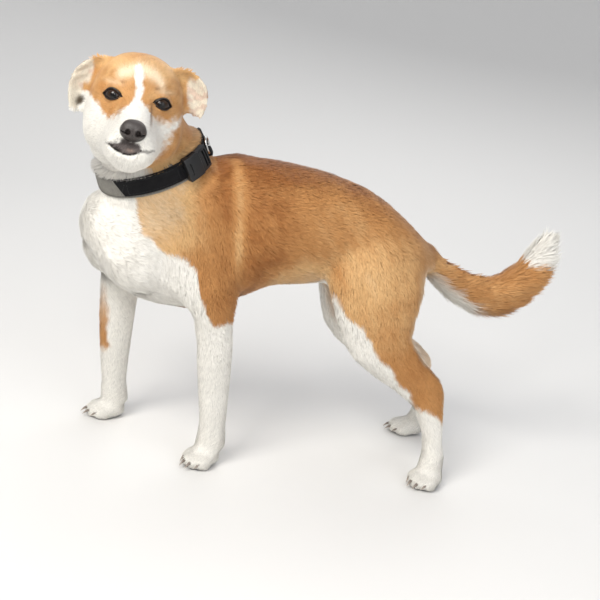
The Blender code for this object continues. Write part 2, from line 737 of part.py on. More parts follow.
def main():
    clear_scene()
    dog = collection_of("dog")
    tools = collection_of("cutters")
    flesh = flesh_shape(dog)
    collar, collar_beds = collar_of(dog)
    eyes, sockets = eyes_of(dog)
    claws, claw_beds = claws_of(dog)
    floor = block((0.0, 0.0, -0.2), (0.5, 0.6, 0.2))
    for hollow in (floor, *collar_beds, sockets, claw_beds):
        cutter = cutter_from(hollow, "cutter", tools)
        flesh = joined_or_cut(flesh, cutter, "DIFFERENCE", dog)
        bpy.data.objects.remove(cutter)
    parts = []
    for name, shape, sizes, place, degrees, frame in body_regions():
        part, flesh = take(flesh, name, shape, sizes, place, degrees, frame, dog)
        part.name = name
        parts.append(part)
    flesh.name = "trunk"
    parts.append(flesh)
    pieces = parts + eyes + claws + collar
    stand_on_floor(pieces)
    finishes = (
        ("eye_", finish_of("eye brown", BROWN, 0.08)),
        ("nose", finish_of("nose leather", BLACK, 0.35)),
        ("collar_lining", finish_of("grey lining", GREY, 0.95)),
        ("collar_ring", finish_of("steel", STEEL, 0.3, 1.0)),
        ("collar", finish_of("black webbing", BLACK, 0.85)),
        ("tail_tip", finish_of("white coat", WHITE, 0.9)),
        ("foreleg", finish_of("white coat legs", WHITE, 0.9)),
        ("", finish_of("tan coat", TAN, 0.9)),
    )
    for piece in pieces:
        horn = finish_of("claw horn", HORN, 0.4) if "_claw_" in piece.name else None
        piece.data.materials.clear()
        piece.data.materials.append(horn or finish_for(piece.name, finishes))


main()
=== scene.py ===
"""A standing tan and white dog with a padded collar, life-size.

The hide is one skin drawn inside the solids by the depth of the coat. The coat is laid over it as tufts.
Both take their colours from the same markings.
"""
import json
import math

import bpy
import numpy as np
from mathutils import Matrix, Vector
from mathutils.bvhtree import BVHTree

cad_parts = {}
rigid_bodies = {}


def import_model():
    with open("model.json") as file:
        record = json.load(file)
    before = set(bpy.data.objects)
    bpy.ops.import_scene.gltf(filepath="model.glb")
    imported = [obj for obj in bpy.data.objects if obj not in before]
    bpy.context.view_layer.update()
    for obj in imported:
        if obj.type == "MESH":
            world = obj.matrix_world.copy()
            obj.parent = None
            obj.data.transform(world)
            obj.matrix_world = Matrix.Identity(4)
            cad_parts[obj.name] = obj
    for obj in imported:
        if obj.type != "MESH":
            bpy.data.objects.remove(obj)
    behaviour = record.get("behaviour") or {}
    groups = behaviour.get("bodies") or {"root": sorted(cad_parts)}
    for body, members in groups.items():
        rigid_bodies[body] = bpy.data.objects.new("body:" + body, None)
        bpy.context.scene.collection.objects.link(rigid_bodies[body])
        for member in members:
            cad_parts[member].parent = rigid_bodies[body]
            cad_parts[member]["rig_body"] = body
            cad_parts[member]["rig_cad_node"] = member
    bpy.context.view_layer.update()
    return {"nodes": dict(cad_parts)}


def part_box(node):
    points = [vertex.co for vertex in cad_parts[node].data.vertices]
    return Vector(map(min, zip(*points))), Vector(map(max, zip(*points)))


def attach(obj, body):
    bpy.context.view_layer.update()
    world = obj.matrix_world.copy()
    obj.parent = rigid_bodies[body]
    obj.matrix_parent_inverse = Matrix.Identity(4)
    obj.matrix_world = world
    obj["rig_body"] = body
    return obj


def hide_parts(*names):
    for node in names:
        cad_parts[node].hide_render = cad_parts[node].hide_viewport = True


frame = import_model()

# ---------------------------------------------------------------- hide
# The hide of head, trunk, legs and tail in one closed piece, without a seam.
# It is cast from the solids of flesh, fused and smoothed, and finer on the face, ears and feet.
HIDE_GRAIN = 0.0022
BODY_TRIANGLES = 46000
SEAM_OVERLAP = 0.0005
HEAD_REACH = 0.125
FOOT_HEIGHT = 0.055
EYE_REACH = 0.0190
NOT_FLESH = ("eye_", "collar_", "nose")
SIDES = {"left": 1.0, "right": -1.0}
flesh_names = [name for name in frame["nodes"] if not name.startswith(NOT_FLESH) and "_claw_" not in name]


def choose(*items):
    """Selects only these objects, and makes the first one active."""
    bpy.ops.object.select_all(action="DESELECT")
    for item in items:
        item.select_set(True)
    bpy.context.view_layer.objects.active = items[0]


def edit_all():
    """Enters edit mode on the active object, with all of it selected."""
    bpy.ops.object.mode_set(mode="EDIT")
    bpy.ops.mesh.select_all(action="SELECT")


def places_of(item):
    found = np.empty(len(item.data.vertices) * 3)
    item.data.vertices.foreach_get("co", found)
    return found.reshape(-1, 3)


def normals_of(item):
    found = np.empty(len(item.data.vertices) * 3, np.float32)
    item.data.vertex_normals.foreach_get("vector", found)
    return found.reshape(-1, 3).astype(float)


def put_places(item, places):
    item.data.vertices.foreach_set("co", np.asarray(places, np.float32).ravel())
    item.data.update()


def unit(vectors):
    return vectors / np.maximum(np.linalg.norm(vectors, axis=-1, keepdims=True), 1e-9)


def ease(low, high, value):
    """0 below low, 1 above high, and smooth between."""
    t = np.clip((value - low) / (high - low), 0.0, 1.0)
    return t * t * (3 - 2 * t)


def fall(low, high, value):
    """1 below low, 0 above high, and smooth between."""
    return 1 - ease(low, high, value)


def mound(away, width):
    """1 where away is 0, falling off smoothly over the width."""
    return np.exp(-((away / width) ** 2))


# The head's own frame: zero between the eyes, -Y forward, +X its left
HEAD_TURN = Matrix.Rotation(math.radians(84), 3, "Z") @ Matrix.Rotation(math.radians(-2), 3, "X")
HEAD_TURN = HEAD_TURN @ Matrix.Rotation(math.radians(2.5), 3, "Y")
EYES_IN_HEAD = (0.0, -0.0060, -0.0038)


def middle_of(name):
    low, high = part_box(name)
    return np.array((low + high) / 2)


head_turn = np.array(HEAD_TURN)
head_place = (middle_of("eye_left") + middle_of("eye_right")) / 2 - head_turn @ EYES_IN_HEAD


def to_head(places):
    return (places - head_place) @ head_turn


def from_head(places):
    return places @ head_turn.T + head_place


# The nose and the eyes fill their own hollows in the head, so that the hide closes over them
copies = []
face_owner = []
for name in (*flesh_names, "nose", "eye_left", "eye_right"):
    copy = frame["nodes"][name].copy()
    copy.data = copy.data.copy()
    copy.parent = None
    bpy.context.scene.collection.objects.link(copy)
    copies.append(copy)
    face_owner += ["head" if name.startswith("eye_") else name] * len(copy.data.polygons)
choose(*copies)
bpy.ops.object.join()
hide = bpy.context.active_object
hide.name = "hide"
hide.data.name = "hide"
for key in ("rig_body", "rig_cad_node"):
    if key in hide:
        del hide[key]
part_names = sorted(set(face_owner))
solid_tree = BVHTree.FromObject(hide, bpy.context.evaluated_depsgraph_get())
owner_index = np.array([part_names.index(name) for name in face_owner])

choose(hide)
edit_all()
bpy.ops.mesh.remove_doubles(threshold=0.00001)
bpy.ops.transform.shrink_fatten(value=SEAM_OVERLAP)
bpy.ops.object.mode_set(mode="OBJECT")
remesh = hide.modifiers.new("fuse", "REMESH")
remesh.mode = "VOXEL"
remesh.voxel_size = HIDE_GRAIN
bpy.ops.object.modifier_apply(modifier="fuse")
put_places(hide, places_of(hide) - SEAM_OVERLAP * normals_of(hide))


def neighbours_of(item):
    """The two ends of every edge, and how many edges meet at each point."""
    ends = np.empty(len(item.data.edges) * 2, np.int64)
    item.data.edges.foreach_get("vertices", ends)
    ends = ends.reshape(-1, 2)
    return ends, np.bincount(ends.ravel(), minlength=len(item.data.vertices))


def spread(values, ends, counts, rounds):
    """Averages values over the mesh, each point with its neighbours."""
    values = np.array(values, float)
    for _ in range(rounds):
        for column in range(values.shape[1]):
            old = values[:, column]
            total = np.bincount(ends[:, 0], old[ends[:, 1]], len(old))
            total += np.bincount(ends[:, 1], old[ends[:, 0]], len(old))
            values[:, column] = old + (total / counts - old) * 0.6
    return values


places = places_of(hide)
in_head = to_head(places)
ends, counts = neighbours_of(hide)
head_share = fall(0.105, HEAD_REACH, np.linalg.norm(in_head * (1, 1, 0.9), axis=1))
foot_share = fall(0.040, FOOT_HEIGHT, places[:, 2])
smooth = spread(places, ends, counts, 3)
smoother = spread(smooth, ends, counts, 14)
fine = np.clip(head_share + foot_share, 0, 1)[:, None]
put_places(hide, smooth * fine + smoother * (1 - fine))
# Thigh and shoulder run into the trunk without an edge
joins = ease(0.16, 0.22, places[:, 2]) * ease(-0.17, -0.14, places[:, 1]) * fall(0.13, 0.17, places[:, 1])
joins = (joins * (1 - head_share) * fall(0.36, 0.39, places[:, 2]))[:, None]
eased = spread(places_of(hide), ends, counts, 60)
put_places(hide, places_of(hide) * (1 - joins) + eased * joins)


def pick_faces(item, wanted):
    """Selects only the faces whose middles pass a test, and enters edit mode. Returns how many passed."""
    for elements in (item.data.vertices, item.data.edges):
        elements.foreach_set("select", np.zeros(len(elements), bool))
    centres = np.empty(len(item.data.polygons) * 3)
    item.data.polygons.foreach_get("center", centres)
    chosen = wanted(centres.reshape(-1, 3))
    item.data.polygons.foreach_set("select", chosen)
    bpy.ops.object.mode_set(mode="EDIT")
    bpy.ops.mesh.select_mode(type="FACE")
    return chosen.sum()


def of_body(centres):
    return (np.linalg.norm(to_head(centres), axis=1) > HEAD_REACH) & (centres[:, 2] > FOOT_HEIGHT)


def of_face(centres):
    across, back, up = to_head(centres).T
    return (back < 0.006) & (np.abs(across) < 0.055) & (np.abs(up + 0.03) < 0.062)


def by_eye(centres):
    away = [np.linalg.norm(centres - middle_of("eye_" + side), axis=1) for side in SIDES]
    return np.minimum(*away) < EYE_REACH


# The body is thinned, the face is made finer, and the eyes' surroundings finer still
choose(hide)
thinned = pick_faces(hide, of_body)
bpy.ops.mesh.decimate(ratio=BODY_TRIANGLES / (2 * thinned))
bpy.ops.object.mode_set(mode="OBJECT")
for test in (of_face, by_eye):
    pick_faces(hide, test)
    bpy.ops.mesh.subdivide(number_cuts=1)
    bpy.ops.object.mode_set(mode="OBJECT")
edit_all()
bpy.ops.mesh.quads_convert_to_tris()
bpy.ops.object.mode_set(mode="OBJECT")

# ---------------------------------------------------------------- coat plan
# What grows where: how thick the coat lies, how long and wide its tufts are, and which way they lie.
# Each part of the body has its own values, which run into each other across the part's edges.
# Part: coat depth, tuft length, tuft width, tuft spacing, all in metres
COAT = {
    "head": (0.0012, 0.0048, 0.00085, 0.00115),
    "nose": (0.0006, 0.0030, 0.0007, 0.00100),
    "ear": (0.0009, 0.0036, 0.00085, 0.00110),
    "neck": (0.0046, 0.0130, 0.00110, 0.00135),
    "trunk": (0.0042, 0.0120, 0.00108, 0.00146),
    "arm": (0.0036, 0.0105, 0.00105, 0.00140),
    "forearm": (0.0020, 0.0066, 0.00095, 0.00135),
    "thigh": (0.0042, 0.0120, 0.00108, 0.00146),
    "shank": (0.0026, 0.0080, 0.00105, 0.00140),
    "paw": (0.0010, 0.0040, 0.00085, 0.00125),
    "tail": (0.0080, 0.0260, 0.00140, 0.00150),
}
BLEND_ROUNDS = 26


# A forearm comes before an arm here, as its name holds the other's
KINDS = ("forearm", "arm", "thigh", "shank", "paw", "ear", "tail", "neck", "trunk", "nose", "head")


def kind_of(name):
    return next(kind for kind in KINDS if kind in name)


def end_of(name, way):
    """The middle of a part's end, as far as it goes in one direction."""
    found = places_of(frame["nodes"][name])
    reach = found @ np.array(way, float)
    return found[reach > reach.max() - 0.012].mean(axis=0)


def along(name, way):
    """The direction from a part's one end to its other."""
    way = np.array(way, float)
    return unit(end_of(name, way) - end_of(name, -way))


DOWN = (0, 0, -1)
lie_of_part = {
    "head": from_head(np.array((0, 1.0, -0.18))) - head_place,
    "nose": from_head(np.array((0, 1.0, 0.2))) - head_place,
    "neck": unit(np.array((-0.15, 0.55, -0.80))),
    "trunk": np.array((0, 1.0, -0.30)),
    "tail": along("tail", (0, 1, 0.25)),
    "tail_tip": along("tail_tip", (0, 0.4, 1)),
}
for name in part_names:
    if kind_of(name) in ("arm", "thigh"):
        lie_of_part[name] = unit(along(name, DOWN) + (0, 0.25, 0))
    elif kind_of(name) in ("forearm", "shank", "ear"):
        lie_of_part[name] = along(name, DOWN)
    elif kind_of(name) == "paw":
        leg = name[: -len("_paw")]
        toes = (middle_of(leg + "_claw_2") + middle_of(leg + "_claw_3")) / 2
        lie_of_part[name] = unit(toes - end_of(name, (0, 0, 1)))

places = places_of(hide)
owners = np.empty(len(places), int)
for index, place in enumerate(places):
    owners[index] = owner_index[solid_tree.find_nearest(Vector(place))[2]]
ends, counts = neighbours_of(hide)
belongs = np.eye(len(part_names))[owners]
belongs = spread(belongs, ends, counts, BLEND_ROUNDS)
belongs /= belongs.sum(axis=1, keepdims=True)
coat_values = belongs @ np.array([COAT[kind_of(name)] for name in part_names])

# The collar's own frame: its plane is low at the throat and high at the nape, and bearing 0 is the dog's left
COLLAR_TURN = Matrix.Rotation(math.radians(16.9), 3, "Y") @ Matrix.Rotation(math.radians(26.1), 3, "X")
COLLAR_RADII = (0.0530, 0.0670)
COLLAR_FLARE = 1.6
LINING_HALF_WIDTH = 0.0150
NEAR_COLLAR = 0.030
collar_turn = np.array(COLLAR_TURN)
collar_middle = np.unique(places_of(frame["nodes"]["collar_lining"]).round(5), axis=0).mean(axis=0)


def to_collar(places):
    """Height above the collar's middle, and how far outside its inner face."""
    found = (places - collar_middle) @ collar_turn
    stretched = found[..., :2] / (np.array(COLLAR_RADII) * (1 - COLLAR_FLARE * found[..., 2:3]))
    size = np.linalg.norm(stretched, axis=-1)
    reach = np.linalg.norm(found[..., :2], axis=-1) * (1 - 1 / np.maximum(size, 1e-6))
    return found[..., 2], reach


high, out = to_collar(places)
by_collar = fall(0.012, 0.045, np.abs(high)) * fall(0.020, 0.040, np.abs(out))
coat_values[:, 0] *= 1 - 0.72 * by_collar
coat_values[:, 1] *= 1 - 0.30 * by_collar
over_edge = mound(high - 0.021, 0.007) * (np.abs(out) < NEAR_COLLAR)
coat_values[:, 3] *= 1 - 0.35 * over_edge

# ---------------------------------------------------------------- face
# The hide over the muzzle and round the eyes. Lids wrap the eyeballs, a furrow parts the lips,
# and a shallow stop runs up between the brows.
EYE_RADIUS = 0.0118
LID = 0.0011
EYE_HALF_WIDTH = 0.0115
EYE_HALF_HEIGHTS = (0.0076, 0.0058)
EYE_YAW = 27.0
EYE_SLANT = -4.0
NOSE_IN_HEAD = np.array((0.0, -0.0885, -0.0296))


def in_mm(*rows):
    """Places along an edge, given in millimetres."""
    return np.array(rows) / 1000


# The lips on one side, from the middle of the mouth's front to its corner, in the head's frame
LIP_LINE = in_mm((0, -88.5, -57.5), (8, -88, -56), (15, -86.2, -52.5), (21.5, -83.5, -50.5),
                 (27.5, -75, -49.5), (31, -62, -49.6), (32.5, -48, -53.5), (33, -36, -58))
# The pale brows, which meet over the blaze: place across and up the face
BROW_LINE = in_mm((-26.2, 22.5), (-11.8, 28), (-6.5, 32), (4, 31), (16.5, 27), (29.2, 16.5))


def eye_axes(side):
    """Outer corner, up and gaze of one eye, as rows, in the head's frame."""
    sign = SIDES[side]
    yaw = math.radians(EYE_YAW)
    gaze = unit(np.array((sign * math.sin(yaw), -math.cos(yaw), 0.10)))
    outer = unit(np.array((sign * math.cos(yaw), math.sin(yaw), math.tan(math.radians(EYE_SLANT)))))
    outer = unit(outer - gaze * (outer @ gaze))
    up = np.cross(outer, gaze) * sign
    return np.array((outer, up if up[2] > 0 else -up, gaze))


def eye_measure(points, side):
    """Coordinates from the eye's middle, and 1 on the edge of the lids' almond opening."""
    middle = to_head(middle_of("eye_" + side))
    found = (points - middle) @ eye_axes(side).T
    half_height = np.where(found[:, 1] > 0, *EYE_HALF_HEIGHTS)
    opening = (found[:, 0] / EYE_HALF_WIDTH) ** 2 + np.abs(found[:, 1]) / half_height
    return found, opening


def lip_measure(points):
    """Place along the mouth's front, and height above the line where the lips meet."""
    across = (points[:, 0] + 0.0020) * (1 + 0.50 * (points[:, 0] > -0.0020))
    return across, points[:, 2] + 0.0580 - 15 * across**2


def dome(across, up, radius):
    return np.sqrt(np.maximum(radius**2 - across**2 - up**2, 1e-9))


def line_distance(points, line):
    """Distance to a mirrored chain of points, in the head's frame."""
    folded = points.copy()
    folded[:, 0] = np.abs(folded[:, 0])
    best = np.full(len(points), 1.0)
    for start, stop in zip(line, line[1:]):
        step = stop - start
        t = np.clip((folded - start) @ step / (step @ step), 0, 1)
        best = np.minimum(best, np.linalg.norm(folded - start - t[:, None] * step, axis=1))
    return best


def ahead_of_crease(points):
    """How far a place lies ahead of the pale line behind the shoulder. The crease is just ahead of it."""
    return -(points[:, 1] + 0.128 + 0.10 * (points[:, 2] - 0.33))


places = places_of(hide)
places = places - normals_of(hide) * coat_values[:, :1]
head_points = to_head(places)
head_normals = normals_of(hide) @ head_turn
face = (head_points[:, 1] < 0.02) & (np.linalg.norm(head_points, axis=1) < 0.115)
# The shallow crease behind each shoulder, the right ear's pouch, and the folds of each ear
crease = mound(ahead_of_crease(places) + 0.007, 0.0075)
crease *= ease(0.235, 0.275, places[:, 2]) * fall(0.375, 0.400, places[:, 2])
crease *= ease(0.3, 0.7, np.abs(normals_of(hide)[:, 0]))
head_points -= head_normals * (0.0022 * crease)[:, None]
ear_at = np.stack((np.abs(head_points[:, 0]), head_points[:, 2]), axis=1)
ear_front = ease(0.1, 0.6, -head_normals[:, 1]) * ease(0.056, 0.060, ear_at[:, 0])
ear_front *= head_points[:, 1] > 0.015
pouch = mound(np.linalg.norm(ear_at - (0.0680, -0.0235), axis=1), 0.0058) * (head_points[:, 0] < 0)
folds = mound(ear_at[:, 1] - 0.013 + 0.55 * (ear_at[:, 0] - 0.074), 0.0022)
folds -= mound(ear_at[:, 1] - 0.007 + 0.55 * (ear_at[:, 0] - 0.074), 0.0024)
folds *= fall(0.006, 0.012, np.abs(ear_at[:, 0] - 0.072))
head_points -= head_normals * (ear_front * (0.0020 * pouch + 0.0007 * folds))[:, None]
stop_dip = mound(head_points[:, 0], 0.010) * mound(head_points[:, 2] - 0.004, 0.022)
sink = 0.0016 * stop_dip * (head_points[:, 1] < 0)
lips = line_distance(head_points, LIP_LINE)
muzzle_front = fall(-0.080, -0.072, head_points[:, 1])
sink += 0.0014 * (1 - muzzle_front) * mound(lips, 0.0011)
across, above_lip = lip_measure(head_points)
# The furrow between the lips, and the swell of the upper and the lower one
for depth, height, width in ((0.0010, 0.0, 0.0012), (-0.0009, 0.0034, 0.0022), (-0.0006, -0.0028, 0.0018)):
    sink += depth * muzzle_front * mound(above_lip - height, width) * (np.abs(across) < 0.024)
cleft_run = ease(-0.060, -0.056, head_points[:, 2]) * (head_points[:, 1] < -0.078)
sink += 0.0011 * mound(head_points[:, 0], 0.0009) * cleft_run
head_points -= head_normals * (sink * face)[:, None]
for side in SIDES:
    found, opening = eye_measure(head_points, side)
    near = face & (found[:, 2] > 0.001) & (np.linalg.norm(found, axis=1) < 0.030)
    lid_height = np.maximum(dome(found[:, 0], found[:, 1], EYE_RADIUS + LID), 0.0066)
    inner_height = dome(found[:, 0], found[:, 1], EYE_RADIUS - 0.0022)
    share = fall(1.0, 2.1, opening)
    lidded = found[:, 2] * (1 - share) + lid_height * share
    lidded = np.maximum(lidded, dome(found[:, 0], found[:, 1], EYE_RADIUS + 0.0008))
    edge = near & (opening > 0.80) & (opening <= 1.0)
    scale = 1 / np.sqrt(np.maximum(opening, 1e-3))
    found[edge, :2] *= scale[edge, None]
    found[:, 2] = np.where(near & (opening > 0.80), lidded, np.where(near, inner_height, found[:, 2]))
    from_eye = found @ eye_axes(side) + to_head(middle_of("eye_" + side))
    head_points = np.where(near[:, None], from_eye, head_points)
put_places(hide, from_head(head_points))

# ---------------------------------------------------------------- markings
# A fox-tan coat with white muzzle, blaze, throat, chest, socks and tail tip.
# One set of rules gives each place its colour, for the hide and the coat alike.
FOX = (0.30, 0.105, 0.022)
TAN = (0.50, 0.235, 0.075)
SAND = (0.70, 0.43, 0.19)
CREAM = (0.78, 0.61, 0.41)
WHITE = (0.84, 0.815, 0.755)
LIP_BLACK = (0.014, 0.010, 0.009)
PAD_BLACK = (0.045, 0.038, 0.036)
TEAR_BROWN = (0.16, 0.07, 0.03)
# The lips' own dark skin together with painted shade under the nose
MOUTH_SKIN_AND_SHADE = (0.115, 0.096, 0.090)
BROW_CREAM = (0.86, 0.72, 0.52)
EAR_CREAM = (0.80, 0.73, 0.60)
EAR_PINK = (0.62, 0.43, 0.33)
# Painted shade for the pouch low in the right ear
POUCH_SHADE = (0.060, 0.038, 0.018)
# The upper edge of the white on each cheek: distance from the face's middle line, and height there
RIGHT_CHEEK_EDGE = in_mm((0, -10), (10, -10), (15, -15), (22, -23), (30, -30.4), (36, -27.5), (43, -18.5),
                         (52, -12), (70, -10))
LEFT_CHEEK_EDGE = in_mm((0, -8), (11, -8), (16, -13), (22, -19.5), (30, -23.5), (45, -22.5), (58, -16.3),
                        (70, -12))
# The back edge of the white on the left cheek: height, and place behind the eyes there
LEFT_CHEEK_BACK = in_mm((-100, 0), (-65, -12), (-50, -13), (-31.5, -8), (-16.3, 23.6))
# How light the tan is, from 0 for fox to 1 for sand: place along and up the body, and the value there
TONES = (
    ((-0.100, 0.370), 0.16), ((-0.090, 0.290), 0.12), ((-0.155, 0.380), 0.05), ((-0.150, 0.260), 0.32),
    ((-0.225, 0.340), 1.30), ((-0.215, 0.390), 1.25), ((0.000, 0.350), 0.62), ((-0.010, 0.290), 0.62),
    ((-0.030, 0.415), 0.40), ((0.060, 0.390), 0.45), ((0.060, 0.290), 1.02), ((0.110, 0.230), 0.70),
    ((0.150, 0.170), 0.35), ((0.200, 0.110), 0.50), ((0.250, 0.260), 0.62), ((0.330, 0.300), 0.60),
)
# The lower and front edge of the tan on the body: place along the body, and height there
CHEST_EDGE = in_mm((-290, 420), (-262, 356), (-252, 312), (-218, 294), (-190, 290), (-176, 275),
                   (-166, 235), (-145, 209), (-110, 204), (-70, 212), (0, 228))
THIGH_EDGE = in_mm((-20, 262), (7, 268), (31, 244), (64, 214), (112, 161), (142, 132), (165, 113),
                   (190, 96), (205, 86), (225, 80))
RIGHT_FORELEG_AHEAD = 0.090
HIND_MIDDLE = -0.018


def wobble(points, size, seed):
    """A smooth random field between about -1 and 1, made of a few crossed waves."""
    rng = np.random.default_rng(seed)
    total = np.zeros(len(points))
    for _ in range(9):
        way = rng.normal(size=3)
        way *= rng.uniform(0.6, 1.7) / np.linalg.norm(way)
        total += np.sin(points @ way * (2 * math.pi / size) + rng.uniform(0, 2 * math.pi))
    return total / 3.2


def mix(first, second, share):
    return first * (1 - share[:, None]) + np.asarray(second) * share[:, None]


def edge_height(edge, along):
    return np.interp(along, *edge.T)


def part_share(kinds, where):
    chosen = [index for index, name in enumerate(part_names) if name.startswith(kinds)]
    return where[:, chosen].sum(axis=1)


def markings(points, normals, where):
    """The colour at each point, and how bare it is."""

    def of(*kinds):
        return part_share(kinds, where)

    x, y, z = points.T
    soft = 0.0040 * wobble(points, 0.045, 3) + 0.0014 * wobble(points, 0.013, 4)
    # Tone of the tan
    weights = [((y - at[0]) ** 2 + (z - at[1]) ** 2 + 0.0006) ** -1.5 for at, _ in TONES]
    level = np.average([np.full(len(y), tone) for _, tone in TONES], axis=0, weights=weights)
    level -= 0.28 * ease(0.55, 0.95, normals[:, 2]) * (y > -0.16)
    band = mound(ahead_of_crease(points), 0.0085) * ease(0.255, 0.30, z) * (np.abs(normals[:, 0]) > 0.3)
    level += 0.50 * band * of("trunk", "foreleg")
    level += 0.55 * ease(0.10, 0.75, -normals[:, 2]) * ease(-0.10, -0.06, y) * of("trunk")
    level = np.clip(level + 0.06 * wobble(points, 0.030, 5) + 0.04 * wobble(points, 0.008, 6), 0, 1.4)
    head = of("head", "ear", "nose")
    p = to_head(points)
    hx, hy, hz = p.T
    side = np.abs(hx)
    head_level = 0.62 + 0.25 * ease(0.010, 0.035, hz) - 0.35 * ease(0.035, 0.055, hz)
    head_level -= 0.25 * ease(0.030, 0.07, hy)
    level = level * (1 - head) + np.clip(head_level + 0.08 * wobble(points, 0.018, 8), 0, 1) * head
    tan = np.tile(np.array(FOX), (len(points), 1))
    for tint, share in (
        (TAN, ease(0.0, 0.5, level)), (SAND, ease(0.45, 1.0, level)), (CREAM, 0.75 * ease(0.95, 1.40, level)),
    ):
        tan = mix(tan, tint, share)
    # White of the body
    left = ease(-0.010, 0.010, x - HIND_MIDDLE)
    ahead = RIGHT_FORELEG_AHEAD * (1 - left) * fall(0.20, 0.30, z)
    blend = 0.0065 + 0.0100 * ease(0.300, 0.340, z)
    fore = ease(-blend, blend, edge_height(CHEST_EDGE, y + ahead) - z + soft)
    fore_part = of("trunk", "neck", "foreleg") * fall(-0.02, 0.03, y)
    thigh_height = edge_height(THIGH_EDGE, y - 0.036 * (1 - left) * fall(0.10, 0.20, z))
    hind = ease(-0.0075, 0.0075, thigh_height - z + soft)
    inside = ease(-0.15, 0.35, -normals[:, 0] * np.sign(x - HIND_MIDDLE))
    hind = np.maximum(hind, inside * fall(0.235, 0.265, z))
    belly_start = 0.80 - 0.35 * ease(-0.02, 0.03, y)
    belly = ease(belly_start, belly_start + 0.25, -normals[:, 2]) * of("trunk") * fall(0.10, 0.13, y)
    feet = of("foreleg_left_paw", "foreleg_right_paw", "hindleg_left_paw", "hindleg_right_paw")
    shin_band = ease(0.0, 0.008, 0.086 + soft - z)
    white = np.maximum.reduce((fore * fore_part, hind * of("hindleg"), belly, feet, shin_band))
    far_leg = of("foreleg_right")
    outside = ease(-0.003, 0.005, -0.0850 - x + 0.5 * soft)
    outside *= 1 - ease(-0.35, 0.05, normals[:, 1]) * (x > -0.115)
    far_white = 1 - outside * ease(0.100, 0.116, z + soft)
    white = white * (1 - far_leg) + np.minimum(np.maximum(white, shin_band), far_white) * far_leg
    throat = ease(-0.20, 0.05, 8 * soft - unit(normals * (1, 1, 0.3))[:, 1])
    throat *= ease(-0.012, 0.004, to_collar(points)[0]) * fall(-0.062, -0.050, hz)
    white = np.maximum(white, throat * of("neck", "trunk"))
    tail = of("tail")
    tip = ease(-0.004, 0.004, (y - 0.330) * 0.30 + (z - 0.316) * 0.95 + 1.4 * soft)
    root = ease(0.15, 0.75, -normals[:, 2]) * fall(0.235, 0.275, y)
    white = np.maximum(white, tail * np.maximum(tip, 0.85 * root))
    rump = ease(0.45, 0.85, normals[:, 1]) * ease(0.10, 0.135, y) * fall(0.29, 0.31, z) * (1 - tail)
    colour = mix(tan, CREAM, 0.75 * rump)
    colour = mix(colour, WHITE, ease(0.02, 0.9, white) * (1 - head))
    far_hock = of("hindleg_right") * ease(0.10, 0.12, z) * fall(0.165, 0.19, z)
    far_hock *= ease(-0.2, 0.5, normals[:, 1]) * (y > 0.17)
    colour = mix(colour, SAND, 0.55 * far_hock)
    # Face
    fine = 0.0016 * wobble(points, 0.012, 9) + 0.0010 * wobble(points, 0.005, 10)
    blaze_half = 0.0046 + 0.0090 * fall(-0.015, 0.001, hz) + 0.0012 * ease(0.012, 0.024, hz)
    blaze_half -= 0.0100 * ease(0.031, 0.041, hz)
    blaze_middle = 0.0005 - 0.0055 * ease(0.008, 0.034, hz)
    blaze = ease(-0.0022, 0.0022, blaze_half - np.abs(hx - blaze_middle) + 0.6 * fine) * (hy < 0.03)
    cheek_edge = np.where(hx < 0, edge_height(RIGHT_CHEEK_EDGE, side), edge_height(LEFT_CHEEK_EDGE, side))
    cheek_back = edge_height(LEFT_CHEEK_BACK, hz)
    to_left = ease(0.014, 0.032, hx)
    cheek_back = 0.050 * (1 - to_left) + cheek_back * to_left
    blend = 0.0040 + 0.0040 * to_left
    cheek = ease(-blend, blend, cheek_edge - hz + 1.2 * fine)
    cheek *= ease(-blend, blend, cheek_back - hy + 1.2 * fine)
    brow = mound(hz - edge_height(BROW_LINE, hx), 0.0072) * fall(0.022, 0.034, side) * (hy < 0.02)
    colour = mix(colour, BROW_CREAM, 0.90 * brow * head)
    upper_lid = mound(side - 0.031, 0.010) * mound(hz - 0.0110, 0.0030) * (hy < 0.01)
    colour = mix(colour, CREAM, 0.55 * upper_lid * head)
    colour = mix(colour, WHITE, np.maximum.reduce((blaze, cheek, throat)) * head)
    colour = mix(colour, WHITE, 0.9 * throat * of("head", "neck", "trunk"))
    spot = mound(side - 0.0205, 0.0034) * mound(hz - 0.0135, 0.0018) * (hy < 0.01)
    colour = mix(colour, TEAR_BROWN, 0.50 * spot * head)
    tear = mound(side - 0.0168 + 0.10 * (hz + 0.006), 0.0015) * (hy < 0.0) * np.where(hx > 0, 1.0, 0.2)
    tear *= ease(-0.030, -0.020, hz) * fall(-0.006, 0.0, hz)
    colour = mix(colour, TEAR_BROWN, 0.75 * tear * head)
    # Ears: cream inside, flushed along their folds, with painted shade in the pouch low in the right one
    on_ear = ease(0.10, 0.40, of("ear"))
    front = ease(0.0, 0.45, -(normals @ head_turn)[:, 1]) * (hy > 0.012) * on_ear
    inner = front * ease(0.0575, 0.0615, side + 0.10 * np.maximum(hz, 0))
    inner *= 1 - ease(0.0285, 0.0325, hz + fine) * (hx > 0)
    by_head = (hx < 0) * fall(0.0655, 0.0690, side) * fall(-0.004, 0.004, hz) * ease(-0.031, -0.028, hz)
    colour = mix(colour, EAR_CREAM, 0.92 * inner * (1 - by_head))
    flush = ease(0.25, 0.9, wobble(points, 0.014, 12) + 0.5 * (hx > 0))
    flush *= 1 - ease(0.068, 0.076, side) * (hx < 0)
    colour = mix(colour, EAR_PINK, 0.65 * flush * inner * (1 - by_head))
    # The pouch low in the right ear is darkened with painted shade
    pouch = np.exp(-(np.hypot(hx + 0.0670, (hz + 0.0240) * 0.75) / 0.0064) ** 4) * front
    colour = mix(colour, POUCH_SHADE, 0.96 * pouch)
